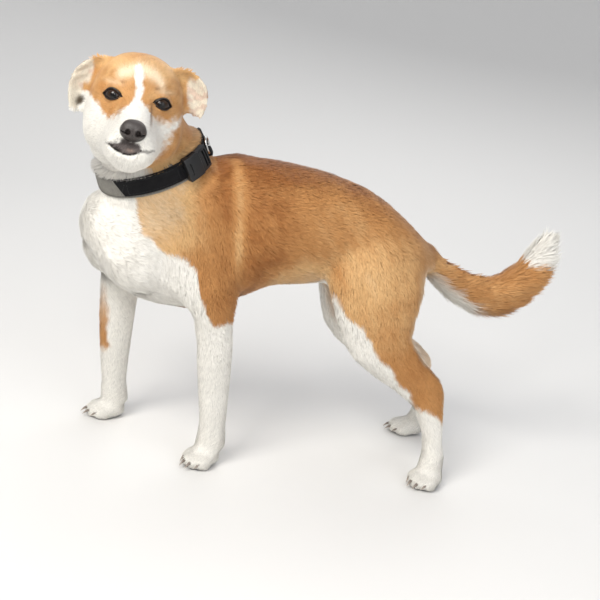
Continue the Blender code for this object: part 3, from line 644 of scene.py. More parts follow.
    # Bare skin
    lips = line_distance(p, LIP_LINE)
    lip_width = 0.0016 - 0.0009 * ease(-0.078, -0.060, hy)
    bare = 0.6 * fall(lip_width * 0.6, lip_width * 1.5, lips + fine * 0.5) * fall(-0.074, -0.056, hy)
    across, above_lip = lip_measure(p)
    # Between nose and lips: the lips' own dark skin with painted shade under the nose, blackest just below
    # the nose
    muzzle = ease(-0.0026, 0.0034, -0.0405 - 17 * across**2 - hz + 0.8 * fine)
    muzzle *= ease(-0.0012, 0.0016, above_lip + 0.0005 + 0.3 * fine) * (hy < -0.070) * head
    colour = mix(colour, MOUTH_SKIN_AND_SHADE, muzzle)
    colour = mix(colour, LIP_BLACK, 0.75 * muzzle * ease(-0.051, -0.044, hz))
    rosy = mound(hx, 0.0042) * mound(hz + 0.0530, 0.0016) * muzzle
    colour = mix(colour, EAR_PINK, 0.35 * rosy)
    lip_seam = fall(0.0006, 0.0016, np.abs(above_lip) + 0.3 * fine)
    lip_seam *= (np.abs(across) < 0.023) * (hy < -0.070)
    nose_ring = np.linalg.norm((p - NOSE_IN_HEAD) / (0.0150, 0.0125, 0.0128), axis=1)
    bare = np.maximum.reduce((bare, lip_seam, fall(0.98, 1.12, nose_ring)))
    for name in SIDES:
        found, opening = eye_measure(p, name)
        half_height = np.where(found[:, 1] > 0, *EYE_HALF_HEIGHTS) + 0.0012
        dark = (found[:, 0] / 0.0143) ** 2 + np.abs(found[:, 1]) / half_height
        rim = fall(0.92, 1.10, dark) * (np.linalg.norm(found, axis=1) < 0.022) * (found[:, 2] > 0)
        bare = np.maximum(bare, rim)
    bare = bare * head
    colour = mix(colour, LIP_BLACK, bare)
    pads = ease(0.5, 0.9, -normals[:, 2]) * fall(0.004, 0.007, z)
    colour = mix(colour, PAD_BLACK, pads)
    return np.clip(colour, 0, 1), np.maximum(bare, pads)


def paint(item, name, colours):
    layer = item.data.color_attributes.new(name, "FLOAT_COLOR", "POINT")
    with_alpha = np.column_stack((colours, np.ones(len(colours))))
    layer.data.foreach_set("color", with_alpha.astype(np.float32).ravel())


def value_on(item, name, values):
    layer = item.data.attributes.new(name, "FLOAT", "POINT")
    layer.data.foreach_set("value", np.asarray(values, np.float32))


places = places_of(hide)
hide_normals = normals_of(hide)
hide_colours, hide_bare = markings(places, hide_normals, belongs)
paint(hide, "coat_colour", hide_colours)
value_on(hide, "bare", hide_bare)
choose(hide)
bpy.ops.object.shade_smooth()
edit_all()
bpy.ops.uv.smart_project(angle_limit=math.radians(66), island_margin=0.001)
bpy.ops.object.mode_set(mode="OBJECT")
hide.data.uv_layers[0].name = "OFBake"


def feed(place, value):
    """Gives an input a value, or links another node's output to it."""
    if isinstance(value, bpy.types.NodeSocket):
        place.id_data.links.new(value, place)
    else:
        place.default_value = value


def node_of(nodes, kind, values=(), **settings):
    """A node with its settings, and what each named input gets."""
    made = nodes.new(kind)
    for key, value in settings.items():
        setattr(made, key, value)
    for key, value in dict(values).items():
        feed(made.inputs[key], value)
    return made


def material_of(name, roughness, colour=(0.5, 0.5, 0.5), metallic=0.0, values=()):
    """A new material, with its nodes and its Principled shader."""
    made = bpy.data.materials.new(name)
    made.use_nodes = True
    nodes = made.node_tree.nodes
    shader = nodes["Principled BSDF"]
    own = {"Base Color": (*colour, 1.0), "Roughness": roughness, "Metallic": metallic, **dict(values)}
    for key, value in own.items():
        feed(shader.inputs[key], value)
    return made, nodes, shader


def attribute(nodes, name, output="Fac"):
    return node_of(nodes, "ShaderNodeAttribute", attribute_name=name).outputs[output]


def place_in(nodes):
    return nodes.new("ShaderNodeTexCoord").outputs["Object"]


def stretched(nodes, at, scale):
    return node_of(nodes, "ShaderNodeMapping", {"Vector": at, "Scale": scale}).outputs["Vector"]


def noise(nodes, at, scale, detail):
    values = {"Vector": at, "Scale": scale, "Detail": detail}
    return node_of(nodes, "ShaderNodeTexNoise", values).outputs["Fac"]


def ranged(nodes, value, low, high):
    values = {"Value": value, "To Min": low, "To Max": high}
    return node_of(nodes, "ShaderNodeMapRange", values).outputs["Result"]


def blended(nodes, share, first, second, **settings):
    """Between two colours by a share."""
    values = {0: share, 6: first, 7: second}
    return node_of(nodes, "ShaderNodeMix", values, data_type="RGBA", **settings).outputs[2]


def bump_on(shader, height, strength, distance, **settings):
    values = {"Height": height, "Strength": strength, "Distance": distance}
    bump = node_of(shader.id_data.nodes, "ShaderNodeBump", values, **settings)
    feed(shader.inputs["Normal"], bump.outputs["Normal"])


# Fine hair between the tufts: it runs along the body, and down on the legs and neck
LYING_HAIR = (1100.0, 170.0, 800.0)
HANGING_HAIR = (1000.0, 1000.0, 170.0)
value_on(hide, "upright", part_share(("foreleg", "hindleg", "neck"), belongs))
hide_finish, nodes, shader = material_of("hide", 0.75, values={"Specular IOR Level": 0.14})
lying = noise(nodes, stretched(nodes, place_in(nodes), LYING_HAIR), 1.0, 3.0)
hanging = noise(nodes, stretched(nodes, place_in(nodes), HANGING_HAIR), 1.0, 3.0)
by_part = {0: attribute(nodes, "upright"), 2: lying, 3: hanging}
hairs = node_of(nodes, "ShaderNodeMix", by_part, data_type="FLOAT").outputs[0]
painted = attribute(nodes, "coat_colour", "Color")
tinted = blended(nodes, 1.0, painted, ranged(nodes, hairs, 0.62, 1.10), blend_type="MULTIPLY")
feed(shader.inputs["Base Color"], tinted)
feed(shader.inputs["Roughness"], ranged(nodes, attribute(nodes, "bare"), 0.80, 0.50))
bump_on(shader, hairs, 0.45, 0.0005)
hide.data.materials.clear()
hide.data.materials.append(hide_finish)
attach(hide, "root")
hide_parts(*flesh_names)

# ---------------------------------------------------------------- eyes
# Two dark brown eyeballs with a clear bulging cornea. The lids' bare black edges run round each
# as a soft rim, with a small fleshy corner towards the nose.
IRIS_ANGLE = 40.0
CORNEA_RISE = 0.0007
GAZE_YAW = 9.0

# Colours from the pupil's middle outwards, each at its angle from there as a share of 90 degrees
IRIS_RINGS = (
    (0.0, (0.002, 0.002, 0.002)), (0.19, (0.003, 0.002, 0.002)), (0.215, (0.016, 0.008, 0.004)),
    (0.38, (0.030, 0.014, 0.006)), (0.445, (0.008, 0.005, 0.003)), (0.50, (0.024, 0.016, 0.013)),
    (1.0, (0.040, 0.024, 0.020)),
)
wet = {"Specular IOR Level": 0.25, "Coat Weight": 0.30, "Coat Roughness": 0.02}
eye_finish, nodes, shader = material_of("eye", 0.06, values=wet)
from_pupil = attribute(nodes, "from_pupil")
spoke_place = node_of(nodes, "ShaderNodeCombineXYZ", {"X": from_pupil, "Y": attribute(nodes, "round_pupil")})
spokes = noise(nodes, stretched(nodes, spoke_place.outputs["Vector"], (0.06, 9.0, 1.0)), 1.0, 4.0)
iris = node_of(nodes, "ShaderNodeValToRGB", {"Fac": from_pupil})
for _ in IRIS_RINGS[2:]:
    iris.color_ramp.elements.new(1.0)
for mark, (stop, colour) in zip(iris.color_ramp.elements, IRIS_RINGS):
    mark.position = stop
    mark.color = (*colour, 1)
streaked = blended(nodes, 1.0, iris.outputs["Color"], ranged(nodes, spokes, 0.6, 1.5), blend_type="MULTIPLY")
feed(shader.inputs["Base Color"], streaked)

rim_finish, nodes, shader = material_of("lid edge", 0.38, LIP_BLACK)
bump_on(shader, noise(nodes, place_in(nodes), 1600.0, 2.0), 0.4, 0.0002)


def settle(item):
    """Puts the object's place into its mesh, so that it sits at the origin."""
    choose(item)
    bpy.ops.object.transform_apply(location=True, rotation=True, scale=True)


def fresh(name, add, **values):
    """A new primitive, the only thing selected."""
    bpy.ops.object.select_all(action="DESELECT")
    add(**values)
    made = bpy.context.active_object
    made.name = name
    return made


def tubes(name, runs, thickness, roundness, closed=False):
    """One smooth mesh of tubes. Each run is its points, and its thickness at each of them."""
    line = bpy.data.curves.new(name, "CURVE")
    line.dimensions = "3D"
    line.bevel_depth = thickness
    line.bevel_resolution = roundness
    line.use_fill_caps = not closed
    for points, radii in runs:
        run = line.splines.new("POLY")
        run.points.add(len(points) - 1)
        run.use_cyclic_u = closed
        for mark, point, radius in zip(run.points, points, radii):
            mark.co = (*point, 1)
            mark.radius = radius
    made = bpy.data.objects.new(name, line)
    bpy.context.scene.collection.objects.link(made)
    choose(made)
    bpy.ops.object.convert(target="MESH")
    bpy.ops.object.shade_smooth()
    return bpy.context.active_object


def tube_along(name, points, radii, roundness, closed):
    """One tube whose ends taper shut, with its doubled points merged."""
    made = tubes(name, ((points, radii),), 1.0, roundness, closed)
    edit_all()
    bpy.ops.mesh.remove_doubles(threshold=0.00001)
    bpy.ops.mesh.normals_make_consistent(inside=False)
    bpy.ops.object.mode_set(mode="OBJECT")
    return made


for side, sign in SIDES.items():
    yaw = math.radians(GAZE_YAW)
    gaze = Vector(from_head(np.array((sign * math.sin(yaw), -math.cos(yaw), 0.02))) - head_place).normalized()
    facing = gaze.to_track_quat("Z", "Y")
    middle = middle_of("eye_" + side)
    ball = fresh("eyeball_" + side, bpy.ops.mesh.primitive_uv_sphere_add, segments=64, ring_count=48,
                 radius=EYE_RADIUS, location=middle, rotation=facing.to_euler())
    settle(ball)
    bpy.ops.object.shade_smooth()
    rays = unit(places_of(ball) - middle)
    angle = np.degrees(np.arccos(np.clip(rays @ np.array(gaze), -1, 1)))
    frame_across = np.array(facing @ Vector((1, 0, 0)))
    frame_up = np.array(facing @ Vector((0, 1, 0)))
    cornea = CORNEA_RISE * fall(10, IRIS_ANGLE, angle)
    put_places(ball, places_of(ball) + rays * cornea[:, None])
    value_on(ball, "from_pupil", angle / 90)
    value_on(ball, "round_pupil", np.arctan2(rays @ frame_up, rays @ frame_across))
    ball.data.materials.append(eye_finish)
    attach(ball, "root")
    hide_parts("eye_" + side)
    # The lid's edge
    turns = np.linspace(0, 2 * math.pi, 72, endpoint=False)
    across = EYE_HALF_WIDTH * np.cos(turns)
    lift = np.where(np.sin(turns) > 0, EYE_HALF_HEIGHTS[0], -EYE_HALF_HEIGHTS[1]) * (1 - np.cos(turns) ** 2)
    forward = np.maximum(dome(across, lift, EYE_RADIUS + 0.55 * LID), 0.0058)
    edge_points = np.stack((across, lift, forward), axis=1) @ eye_axes(side) + to_head(middle)
    radii = 0.00060 + 0.0002 * np.abs(np.sin(turns)) + 0.0002 * (np.sin(turns) > 0)
    rim = tube_along("lid_edge_" + side, from_head(edge_points), radii, 3, True)
    rim.data.materials.append(rim_finish)
    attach(rim, "root")
    corner = np.array((-EYE_HALF_WIDTH + 0.0012, -0.0006, 0.0052)) @ eye_axes(side) + to_head(middle)
    fold = fresh("eye_corner_" + side, bpy.ops.mesh.primitive_uv_sphere_add, segments=20, ring_count=14,
                 radius=0.0022, location=from_head(corner))
    settle(fold)
    bpy.ops.object.shade_smooth()
    fold.data.materials.append(rim_finish)
    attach(fold, "root")

# ---------------------------------------------------------------- nose
# A broad black leather pad with comma-shaped nostrils, a cleft down its middle and a pebbled skin.
# It is a rounded block, pressed in at the nostrils and set into the hide at the muzzle's end.
NOSE_HALF = np.array((0.0145, 0.0098, 0.0124))
NOSTRIL_AT = (0.0058, -0.0018)
nose = fresh("nose_pad", bpy.ops.mesh.primitive_uv_sphere_add, segments=120, ring_count=80, radius=1.0)
bpy.ops.object.shade_smooth()
ball = places_of(nose)
pad = np.sign(ball) * np.abs(ball) ** 0.86 * NOSE_HALF
pad[:, 0] *= 1 - 0.16 * ease(0.0, 1.0, -ball[:, 2])
pad[:, 1] += 0.0022 * ball[:, 2] ** 2 * (ball[:, 2] > 0) + 0.0030 * ease(0.2, 1.0, -ball[:, 2])
front = ease(0.0, 0.5, -ball[:, 1])
out = np.abs(pad[:, 0]) - NOSTRIL_AT[0]
hole = np.hypot(out, (pad[:, 2] - NOSTRIL_AT[1]) * 0.9)
slit_t = np.clip(out / 0.0075, 0, 1)
slit_z = NOSTRIL_AT[1] - 0.0010 - 0.0020 * slit_t + 0.0026 * slit_t**2
slit = np.hypot(pad[:, 2] - slit_z, np.maximum(out - 0.0078, 0)) + 0.01 * (out < 0)
pit = np.maximum(np.exp(-((hole / 0.0027) ** 4)), 0.75 * mound(slit, 0.0015 - 0.0006 * slit_t))
wing = mound(hole - 0.0042, 0.0014)
cleft = mound(pad[:, 0], 0.0008) * fall(-0.002, 0.004, pad[:, 2])
pad[:, 1] += front * (0.0060 * pit + 0.0011 * cleft - 0.0008 * wing)
put_places(nose, from_head(pad + NOSE_IN_HEAD))
value_on(nose, "pit", pit * front)
nose_finish, nodes, shader = material_of("nose leather", 0.42)
# The nostril pits are painted near black: painted shade in the holes
tone = blended(nodes, attribute(nodes, "pit"), (0.040, 0.032, 0.029, 1), (0.004, 0.003, 0.003, 1))
feed(shader.inputs["Base Color"], tone)
pebbles = node_of(nodes, "ShaderNodeTexVoronoi", {"Vector": place_in(nodes), "Scale": 1150.0})
bump_on(shader, pebbles.outputs["Distance"], 0.7, 0.00035, invert=True)
nose.data.materials.append(nose_finish)
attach(nose, "root")
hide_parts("nose")

# ---------------------------------------------------------------- claws
# Four blunt curved claws on each foot, of dark horn that pales towards the tip.
# Each is a tapered tube whose thick end is sunk in its toe.
horn_finish, nodes, shader = material_of("horn", 0.35)
horn = blended(nodes, attribute(nodes, "to_tip"), (0.14, 0.11, 0.09, 1), (0.42, 0.36, 0.30, 1))
feed(shader.inputs["Base Color"], horn)
bump_on(shader, noise(nodes, place_in(nodes), 2200.0, 2.0), 0.3, 0.0002)
CLAW_ROOT = 0.0025
for leg in ("foreleg_left", "foreleg_right", "hindleg_left", "hindleg_right"):
    ahead = lie_of_part[leg + "_paw"] * (1, 1, 0)
    made = []
    for toe in range(1, 5):
        name = f"{leg}_claw_{toe}"
        found = places_of(frame["nodes"][name])
        reach = found @ ahead
        base = found[reach < np.median(reach)].mean(axis=0)
        tip = found[reach > np.median(reach)].mean(axis=0)
        way = unit(tip - base)
        steps = np.linspace(0, 1, 9)
        start = base - way * 0.001
        length = np.linalg.norm(tip - base) - 0.0006
        line = start + way * (steps * length)[:, None] - np.array((0, 0, 0.0016)) * (steps**2.2)[:, None]
        line[:, 2] += 0.0012 * np.sin(math.pi * steps)
        radii = CLAW_ROOT * (1 - 0.88 * steps**1.4)
        claw = tube_along(name + "_horn", line, radii, 4, False)
        value_on(claw, "to_tip", np.clip((places_of(claw) - start) @ way / length, 0, 1) ** 2)
        made.append(claw)
    choose(*made)
    bpy.ops.object.join()
    claws = bpy.context.active_object
    claws.name = "claws_" + leg
    claws.data.materials.append(horn_finish)
    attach(claws, "root")
    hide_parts(*[f"{leg}_claw_{toe}" for toe in range(1, 5)])

# ---------------------------------------------------------------- collar
# A padded grey lining under a band of woven black webbing, closed by a side-release buckle with a
# steel ring beside it. Each piece is shaped on a flat strip, then bent round the neck's oval.
ARC = 0.0600
THREAD = (0.018, 0.018, 0.020)


def hoop(strip):
    """Places on the flat strip, in metres along, up and out, bent round the neck."""
    bearing = strip[:, 0] / ARC
    flare = 1 - COLLAR_FLARE * strip[:, 1]
    across = (COLLAR_RADII[0] * flare + strip[:, 2]) * np.cos(bearing)
    deep = (COLLAR_RADII[1] * flare + strip[:, 2]) * np.sin(bearing)
    return np.stack((across, deep, strip[:, 1]), axis=1) @ collar_turn.T + collar_middle


def bend(item):
    """Bends a piece from the strip, and keeps its strip places for the weave."""
    strip = places_of(item)
    layer = item.data.attributes.new("strip", "FLOAT_VECTOR", "POINT")
    layer.data.foreach_set("vector", strip.astype(np.float32).ravel())
    put_places(item, hoop(strip))


def apply_all(item):
    choose(item)
    for modifier in list(item.modifiers):
        bpy.ops.object.modifier_apply(modifier=modifier.name)


def slab(name, along, up, out, cuts, rounding, crown=0.0, slant=0.0):
    """A rounded slab on the strip: its reach along in degrees, then up and out in metres."""
    cells = {"x_subdivisions": cuts[0], "y_subdivisions": cuts[1]}
    made = fresh(name, bpy.ops.mesh.primitive_grid_add, size=1, **cells)
    flat = places_of(made) + (0.5, 0.5, 0.0)
    run = np.radians(along[0] + (along[1] - along[0]) * flat[:, 0]) * ARC
    run += slant * (0.5 - flat[:, 1]) * (1 - flat[:, 0])
    rise = up[0] + (up[1] - up[0]) * flat[:, 1]
    put_places(made, np.stack((run, rise, np.full(len(flat), out[0])), axis=1))
    solid = made.modifiers.new("thickness", "SOLIDIFY")
    solid.thickness = out[1] - out[0]
    solid.offset = 1.0
    soften = made.modifiers.new("edges", "BEVEL")
    soften.width = rounding
    soften.segments = 3
    soften.limit_method = "ANGLE"
    soften.angle_limit = math.radians(60)
    apply_all(made)
    flat = places_of(made)
    middle, half = (up[0] + up[1]) / 2, (up[1] - up[0]) / 2
    outer = (flat[:, 2] - out[0]) / (out[1] - out[0])
    flat[:, 2] += crown * outer * (1 - ((flat[:, 1] - middle) / half) ** 2)
    put_places(made, flat)
    return made


def cut_out(item, cutter):
    hole = item.modifiers.new("hole", "BOOLEAN")
    hole.operation = "DIFFERENCE"
    hole.object = cutter
    apply_all(item)
    bpy.data.objects.remove(cutter)


def joined(name, *pieces):
    choose(*pieces)
    bpy.ops.object.join()
    made = bpy.context.active_object
    made.name = name
    bpy.ops.object.shade_smooth_by_angle(angle=math.radians(40))
    return made


weave = bpy.data.node_groups.new("weave", "ShaderNodeTree")
weave.interface.new_socket("Thread", in_out="INPUT", socket_type="NodeSocketFloat")
weave.interface.new_socket("Height", in_out="OUTPUT", socket_type="NodeSocketFloat")
nodes = weave.nodes
given = nodes.new("NodeGroupInput")


def reckon(nodes, operation, *values):
    """One step of arithmetic on numbers or other nodes' outputs."""
    return node_of(nodes, "ShaderNodeMath", dict(enumerate(values)), operation=operation).outputs[0]


apart = node_of(nodes, "ShaderNodeSeparateXYZ", {"Vector": attribute(nodes, "strip", "Vector")})
waves = [
    reckon(nodes, "SINE", reckon(nodes, "MULTIPLY", apart.outputs[axis], given.outputs["Thread"]))
    for axis in ("X", "Y")
]
crossed = reckon(nodes, "MULTIPLY", *waves)
node_of(nodes, "NodeGroupOutput", {"Height": reckon(nodes, "MULTIPLY_ADD", crossed, 0.5, 0.5)})


def woven(name, dark, light, roughness, thread, depth):
    """A cloth whose threads follow the strip, mottled by wear, with painted shade where the weave dips and
    lighter thread crests.
    """
    made, nodes, shader = material_of(name, roughness, values={"Specular IOR Level": 0.12})
    turns = {"Thread": 2 * math.pi / thread}
    cloth = node_of(nodes, "ShaderNodeGroup", turns, node_tree=weave).outputs["Height"]
    # The colour runs from dark to light with the weave's height, as painted shade in its hollows, mottled as
    # by wear
    weave_shade_and_wear = reckon(nodes, "MULTIPLY", cloth, noise(nodes, place_in(nodes), 140.0, 6.0))
    feed(shader.inputs["Base Color"], blended(nodes, weave_shade_and_wear, (*dark, 1), (*light, 1)))
    bump_on(shader, cloth, 0.8, depth)
    return made


def grainy(name, colour, roughness, metallic, scale, depth):
    """A moulded or drawn surface with a fine grain."""
    made, nodes, shader = material_of(name, roughness, colour, metallic)
    grain = noise(nodes, place_in(nodes), scale, 4.0)
    feed(shader.inputs["Roughness"], ranged(nodes, grain, roughness * 0.75, roughness * 1.35))
    bump_on(shader, grain, 0.5, depth)
    return made


lining_finish = woven("grey lining", (0.15, 0.145, 0.13), (0.42, 0.40, 0.36), 0.9, 0.0010, 0.0002)
webbing_finish = woven("black webbing", (0.004, 0.004, 0.005), (0.020, 0.020, 0.022), 0.6, 0.0013, 0.0004)
thread_finish = grainy("sewing thread", THREAD, 0.6, 0.0, 2500.0, 0.0001)
plastic_finish = grainy("black plastic", (0.006, 0.006, 0.007), 0.34, 0.0, 1800.0, 0.00005)
steel_finish = grainy("steel", (0.55, 0.54, 0.52), 0.24, 1.0, 900.0, 0.00004)

# The lining: a closed pad with rolled edges, drawn in a little along its two seams
lining = fresh("lining", bpy.ops.mesh.primitive_torus_add, major_segments=300, minor_segments=36,
               major_radius=1.0, minor_radius=0.4)
ring = places_of(lining)
bearing = np.arctan2(ring[:, 1], ring[:, 0])
turn = np.arctan2(ring[:, 2], np.hypot(ring[:, 0], ring[:, 1]) - 1.0)
high = LINING_HALF_WIDTH * np.sign(np.sin(turn)) * np.abs(np.sin(turn)) ** 0.55
face_out = np.sign(np.cos(turn)) * np.abs(np.cos(turn)) ** 0.70
pad_out = 0.00235 + 0.00235 * face_out + 0.0005 * (face_out > 0) * (1 - (high / LINING_HALF_WIDTH) ** 2)
seam = mound(np.abs(high) - 0.0118, 0.0008) * (face_out > 0)
pad_out -= seam * (0.00055 + 0.00015 * np.cos(bearing * 130))
pad_out += 0.00025 * (face_out > 0) * np.sin(bearing * 23) * np.sin(high * 260)
put_places(lining, np.stack((bearing * ARC, high, pad_out), axis=1))
bend(lining)
bpy.ops.object.shade_smooth()
lining.data.materials.append(lining_finish)
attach(lining, "root")
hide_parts("collar_lining")

# The webbing, a second thickness of it sewn over the left side, and the loose end past the buckle
RAISED = 0.0028


def from_middle(low, high=None):
    """Up and down the webbing from its middle line: one half width, or two heights."""
    return (RAISED - low, RAISED + low) if high is None else (RAISED + low, RAISED + high)


# Each piece: name, reach along in degrees, heights, reach outwards, cuts, rounding, crown and slant
WEBBING = (
    ("band", (-36, 228), from_middle(0.0120), (0.0058, 0.0079), (220, 10), 0.0005, 0.0, 0.011),
    ("panel", (-27, 29), from_middle(0.0100), (0.0076, 0.0088), (60, 8), 0.0005, 0.0, 0.004),
    ("fold", (63.0, 71.5), from_middle(0.0112), (0.0078, 0.0122), (14, 8), 0.0011, 0.0003),
    ("loose", (88.0, 128.0), from_middle(0.0112), (0.0080, 0.0100), (44, 8), 0.0005),
    ("ring loop", (78.0, 86.0), from_middle(-0.0120, -0.0015), (0.0078, 0.0142), (10, 10), 0.0014, 0.0004),
)
pieces = [slab(*row) for row in WEBBING]
for piece in pieces:
    bend(piece)
webbing = joined("webbing", *pieces)
webbing.data.materials.append(webbing_finish)
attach(webbing, "root")
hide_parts("collar_webbing")

# The seams, as single stitches of waxed thread
STITCH = 0.0024
STITCH_GAP = 0.0011
THREAD_RADIUS = 0.00024


def seam_stitches(start, stop, out):
    """Short raised threads from one place on the strip to another."""
    start, stop = np.array(start), np.array(stop)
    reach = np.linalg.norm(stop - start)
    count = max(int(reach / (STITCH + STITCH_GAP)), 1)
    way = (stop - start) / reach
    made = []
    for index in range(count):
        begin = start + way * (index * (STITCH + STITCH_GAP))
        run = begin + way * (np.array((0.0, 0.25, 0.75, 1.0)) * STITCH)[:, None]
        made.append(hoop(np.column_stack((run, out + np.array((-0.0003, 0.00012, 0.00012, -0.0003))))))
    return made


def on_strip(bearing, high):
    return (math.radians(bearing) * ARC, high)


# Each seam: bearing and height where it starts and where it stops, and how far out it lies
SEAMS = (
    *((-180, high, 180, high, 0.0047) for high in (-0.0118, 0.0118)),
    *((-25, high, 27.5, high, 0.0089) for high in from_middle(0.0085)),
    *((128, high, 226, high, 0.0080) for high in from_middle(0.0085)),
    *((bearing, RAISED - 0.0085, bearing, RAISED + 0.0085, 0.0089) for bearing in (-25, 27.5)),
    *((bearing, RAISED - 0.0090, bearing, RAISED + 0.0090, 0.0125) for bearing in (64.5, 70.0)),
    (-34, RAISED - 0.0095, -26, RAISED + 0.0095, 0.0080),
)
seams = []
for bearing, high, last_bearing, last_high, out in SEAMS:
    seams += seam_stitches(on_strip(bearing, high), on_strip(last_bearing, last_high), out)
stitching = tubes("stitching", [(stitch, np.ones(len(stitch))) for stitch in seams], THREAD_RADIUS, 1)
stitching.data.materials.append(thread_finish)
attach(stitching, "root")

# The buckle: a housing with two side windows, the prongs that spring out through them, and a slotted end
BUCKLE_OUT = (0.0082, 0.0168)
housing = slab("housing", (34.0, 52.0), from_middle(0.0158), BUCKLE_OUT, (24, 24), 0.0016, 0.0009)
for high in from_middle(0.0144):
    window = (high - 0.0036, high + 0.0036)
    cut_out(housing, slab("window", (41.0, 50.0), window, (0.0102, 0.0152), (2, 2), 0.0004))
cut_out(housing, slab("release", (37.0, 39.2), from_middle(0.0080), (0.0160, 0.0200), (2, 2), 0.0003))
end = slab("end", (52.6, 66.0), from_middle(0.0150), (0.0084, 0.0160), (20, 24), 0.0014, 0.0006)
for start in (57.4, 61.4):
    cut_out(end, slab("slot", (start, start + 2.2), from_middle(0.0115), (0.0130, 0.0200), (3, 3), 0.0003))
pieces = [housing, end]
for high in from_middle(0.0125):
    prong = (high - 0.0027, high + 0.0027)
    pieces.append(slab("prong", (42.0, 55.0), prong, (0.0108, 0.0146), (12, 6), 0.0009))
pieces.append(slab("keeper", (106.0, 111.0), from_middle(0.0134), (0.0079, 0.0122), (8, 10), 0.0010, 0.0003))
for piece in pieces:
    bend(piece)
buckle = joined("buckle", *pieces)
buckle.data.materials.append(plastic_finish)
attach(buckle, "root")
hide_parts("collar_buckle")

# The ring, of drawn steel with its weld, held by the loop
RING_BEARING = math.radians(82)
RING_RADIUS = 0.0105
outwards = COLLAR_TURN @ Vector((math.cos(RING_BEARING), math.sin(RING_BEARING), 0))
steel_ring = fresh("ring", bpy.ops.mesh.primitive_torus_add, major_segments=96, minor_segments=20,
                   major_radius=RING_RADIUS, minor_radius=0.0015)
ring = places_of(steel_ring)
ring_angle = np.arctan2(ring[:, 1], ring[:, 0])
centre_line = np.stack((np.cos(ring_angle), np.sin(ring_angle), np.zeros(len(ring))), axis=1) * RING_RADIUS
weld = 1 + 0.16 * mound(ring_angle, 0.07)
put_places(steel_ring, centre_line + (ring - centre_line) * weld[:, None])
steel_ring.rotation_euler = outwards.to_track_quat("Z", "Y").to_euler()
steel_ring.location = Vector(middle_of("collar_ring")) + outwards * 0.0010
settle(steel_ring)
bpy.ops.object.shade_smooth()
steel_ring.data.materials.append(steel_finish)
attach(steel_ring, "root")
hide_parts("collar_ring")

# ---------------------------------------------------------------- coat
# Short tufts over the whole hide, shortest on the face and feet and longest on the tail.
# Each is a thin flat blade that rises from the hide and lies down along the body.
soft_sheen = {"Specular IOR Level": 0.30, "Sheen Weight": 0.12, "Sheen Roughness": 0.45}
coat_finish, nodes, shader = material_of("coat", 0.62, values=soft_sheen)
feed(shader.inputs["Base Color"], attribute(nodes, "coat_colour", "Color"))

DENSITY = 1.0
TUFT_FACES = ((0, 1, 3, 2), (2, 3, 4))
TUFT_POINTS = 5
COLLAR_OUT = 0.0080
ROOT_PATCH = 0.003


def corner_data(item):
    """Corners of every triangle of the hide, and the unwrapped place of each corner."""
    item.data.calc_loop_triangles()
    count = len(item.data.loop_triangles)
    verts = np.empty(count * 3, np.int32)
    loops = np.empty(count * 3, np.int32)
    item.data.loop_triangles.foreach_get("vertices", verts)
    item.data.loop_triangles.foreach_get("loops", loops)
    flat = np.empty(len(item.data.loops) * 2, np.float32)
    item.data.uv_layers["OFBake"].data.foreach_get("uv", flat)
    return verts.reshape(-1, 3), flat.reshape(-1, 2)[loops.reshape(-1, 3)].astype(float)


triangles, patches = corner_data(hide)
corners = places[triangles]
areas = np.linalg.norm(np.cross(corners[:, 1] - corners[:, 0], corners[:, 2] - corners[:, 0]), axis=1) / 2
chest = ease(0.10, 0.16, -places[:, 1]) * part_share(("trunk", "neck"), belongs)
coat_values[:, 0] *= 1 - 0.50 * chest
coat_values[:, 3] *= 1 - 0.10 * chest
spacing = coat_values[:, 3]
thinning = 1 - hide_bare
crowding = (thinning / spacing**2)[triangles].mean(axis=1) * areas * DENSITY
kinds = np.array([kind_of(name) for name in part_names])
main_kind = kinds[belongs.argmax(axis=1)]


def hair_lie(points, normals, where):
    """The direction of the hair, in the plane of the hide."""
    way = where @ np.array([lie_of_part[name] for name in part_names])
    head = part_share(("head", "nose"), where)[:, None]
    p = to_head(points)
    fan_across = 0.5 * np.tanh(p[:, 0] / 0.02)
    fan_back = 0.35 + 0.6 * ease(-0.09, 0.0, p[:, 1])
    fan_up = 0.55 * np.tanh((p[:, 2] + 0.005) / 0.03)
    fan = np.stack((fan_across, fan_back, fan_up), axis=1)
    way = way * (1 - head) + (from_head(fan) - head_place) * head
    turn = 0.16 * wobble(points, 0.022, 21) + 0.10 * wobble(points, 0.009, 22)
    way = unit(way - normals * np.sum(way * normals, axis=1, keepdims=True))
    return unit(way + np.cross(normals, way) * turn[:, None])


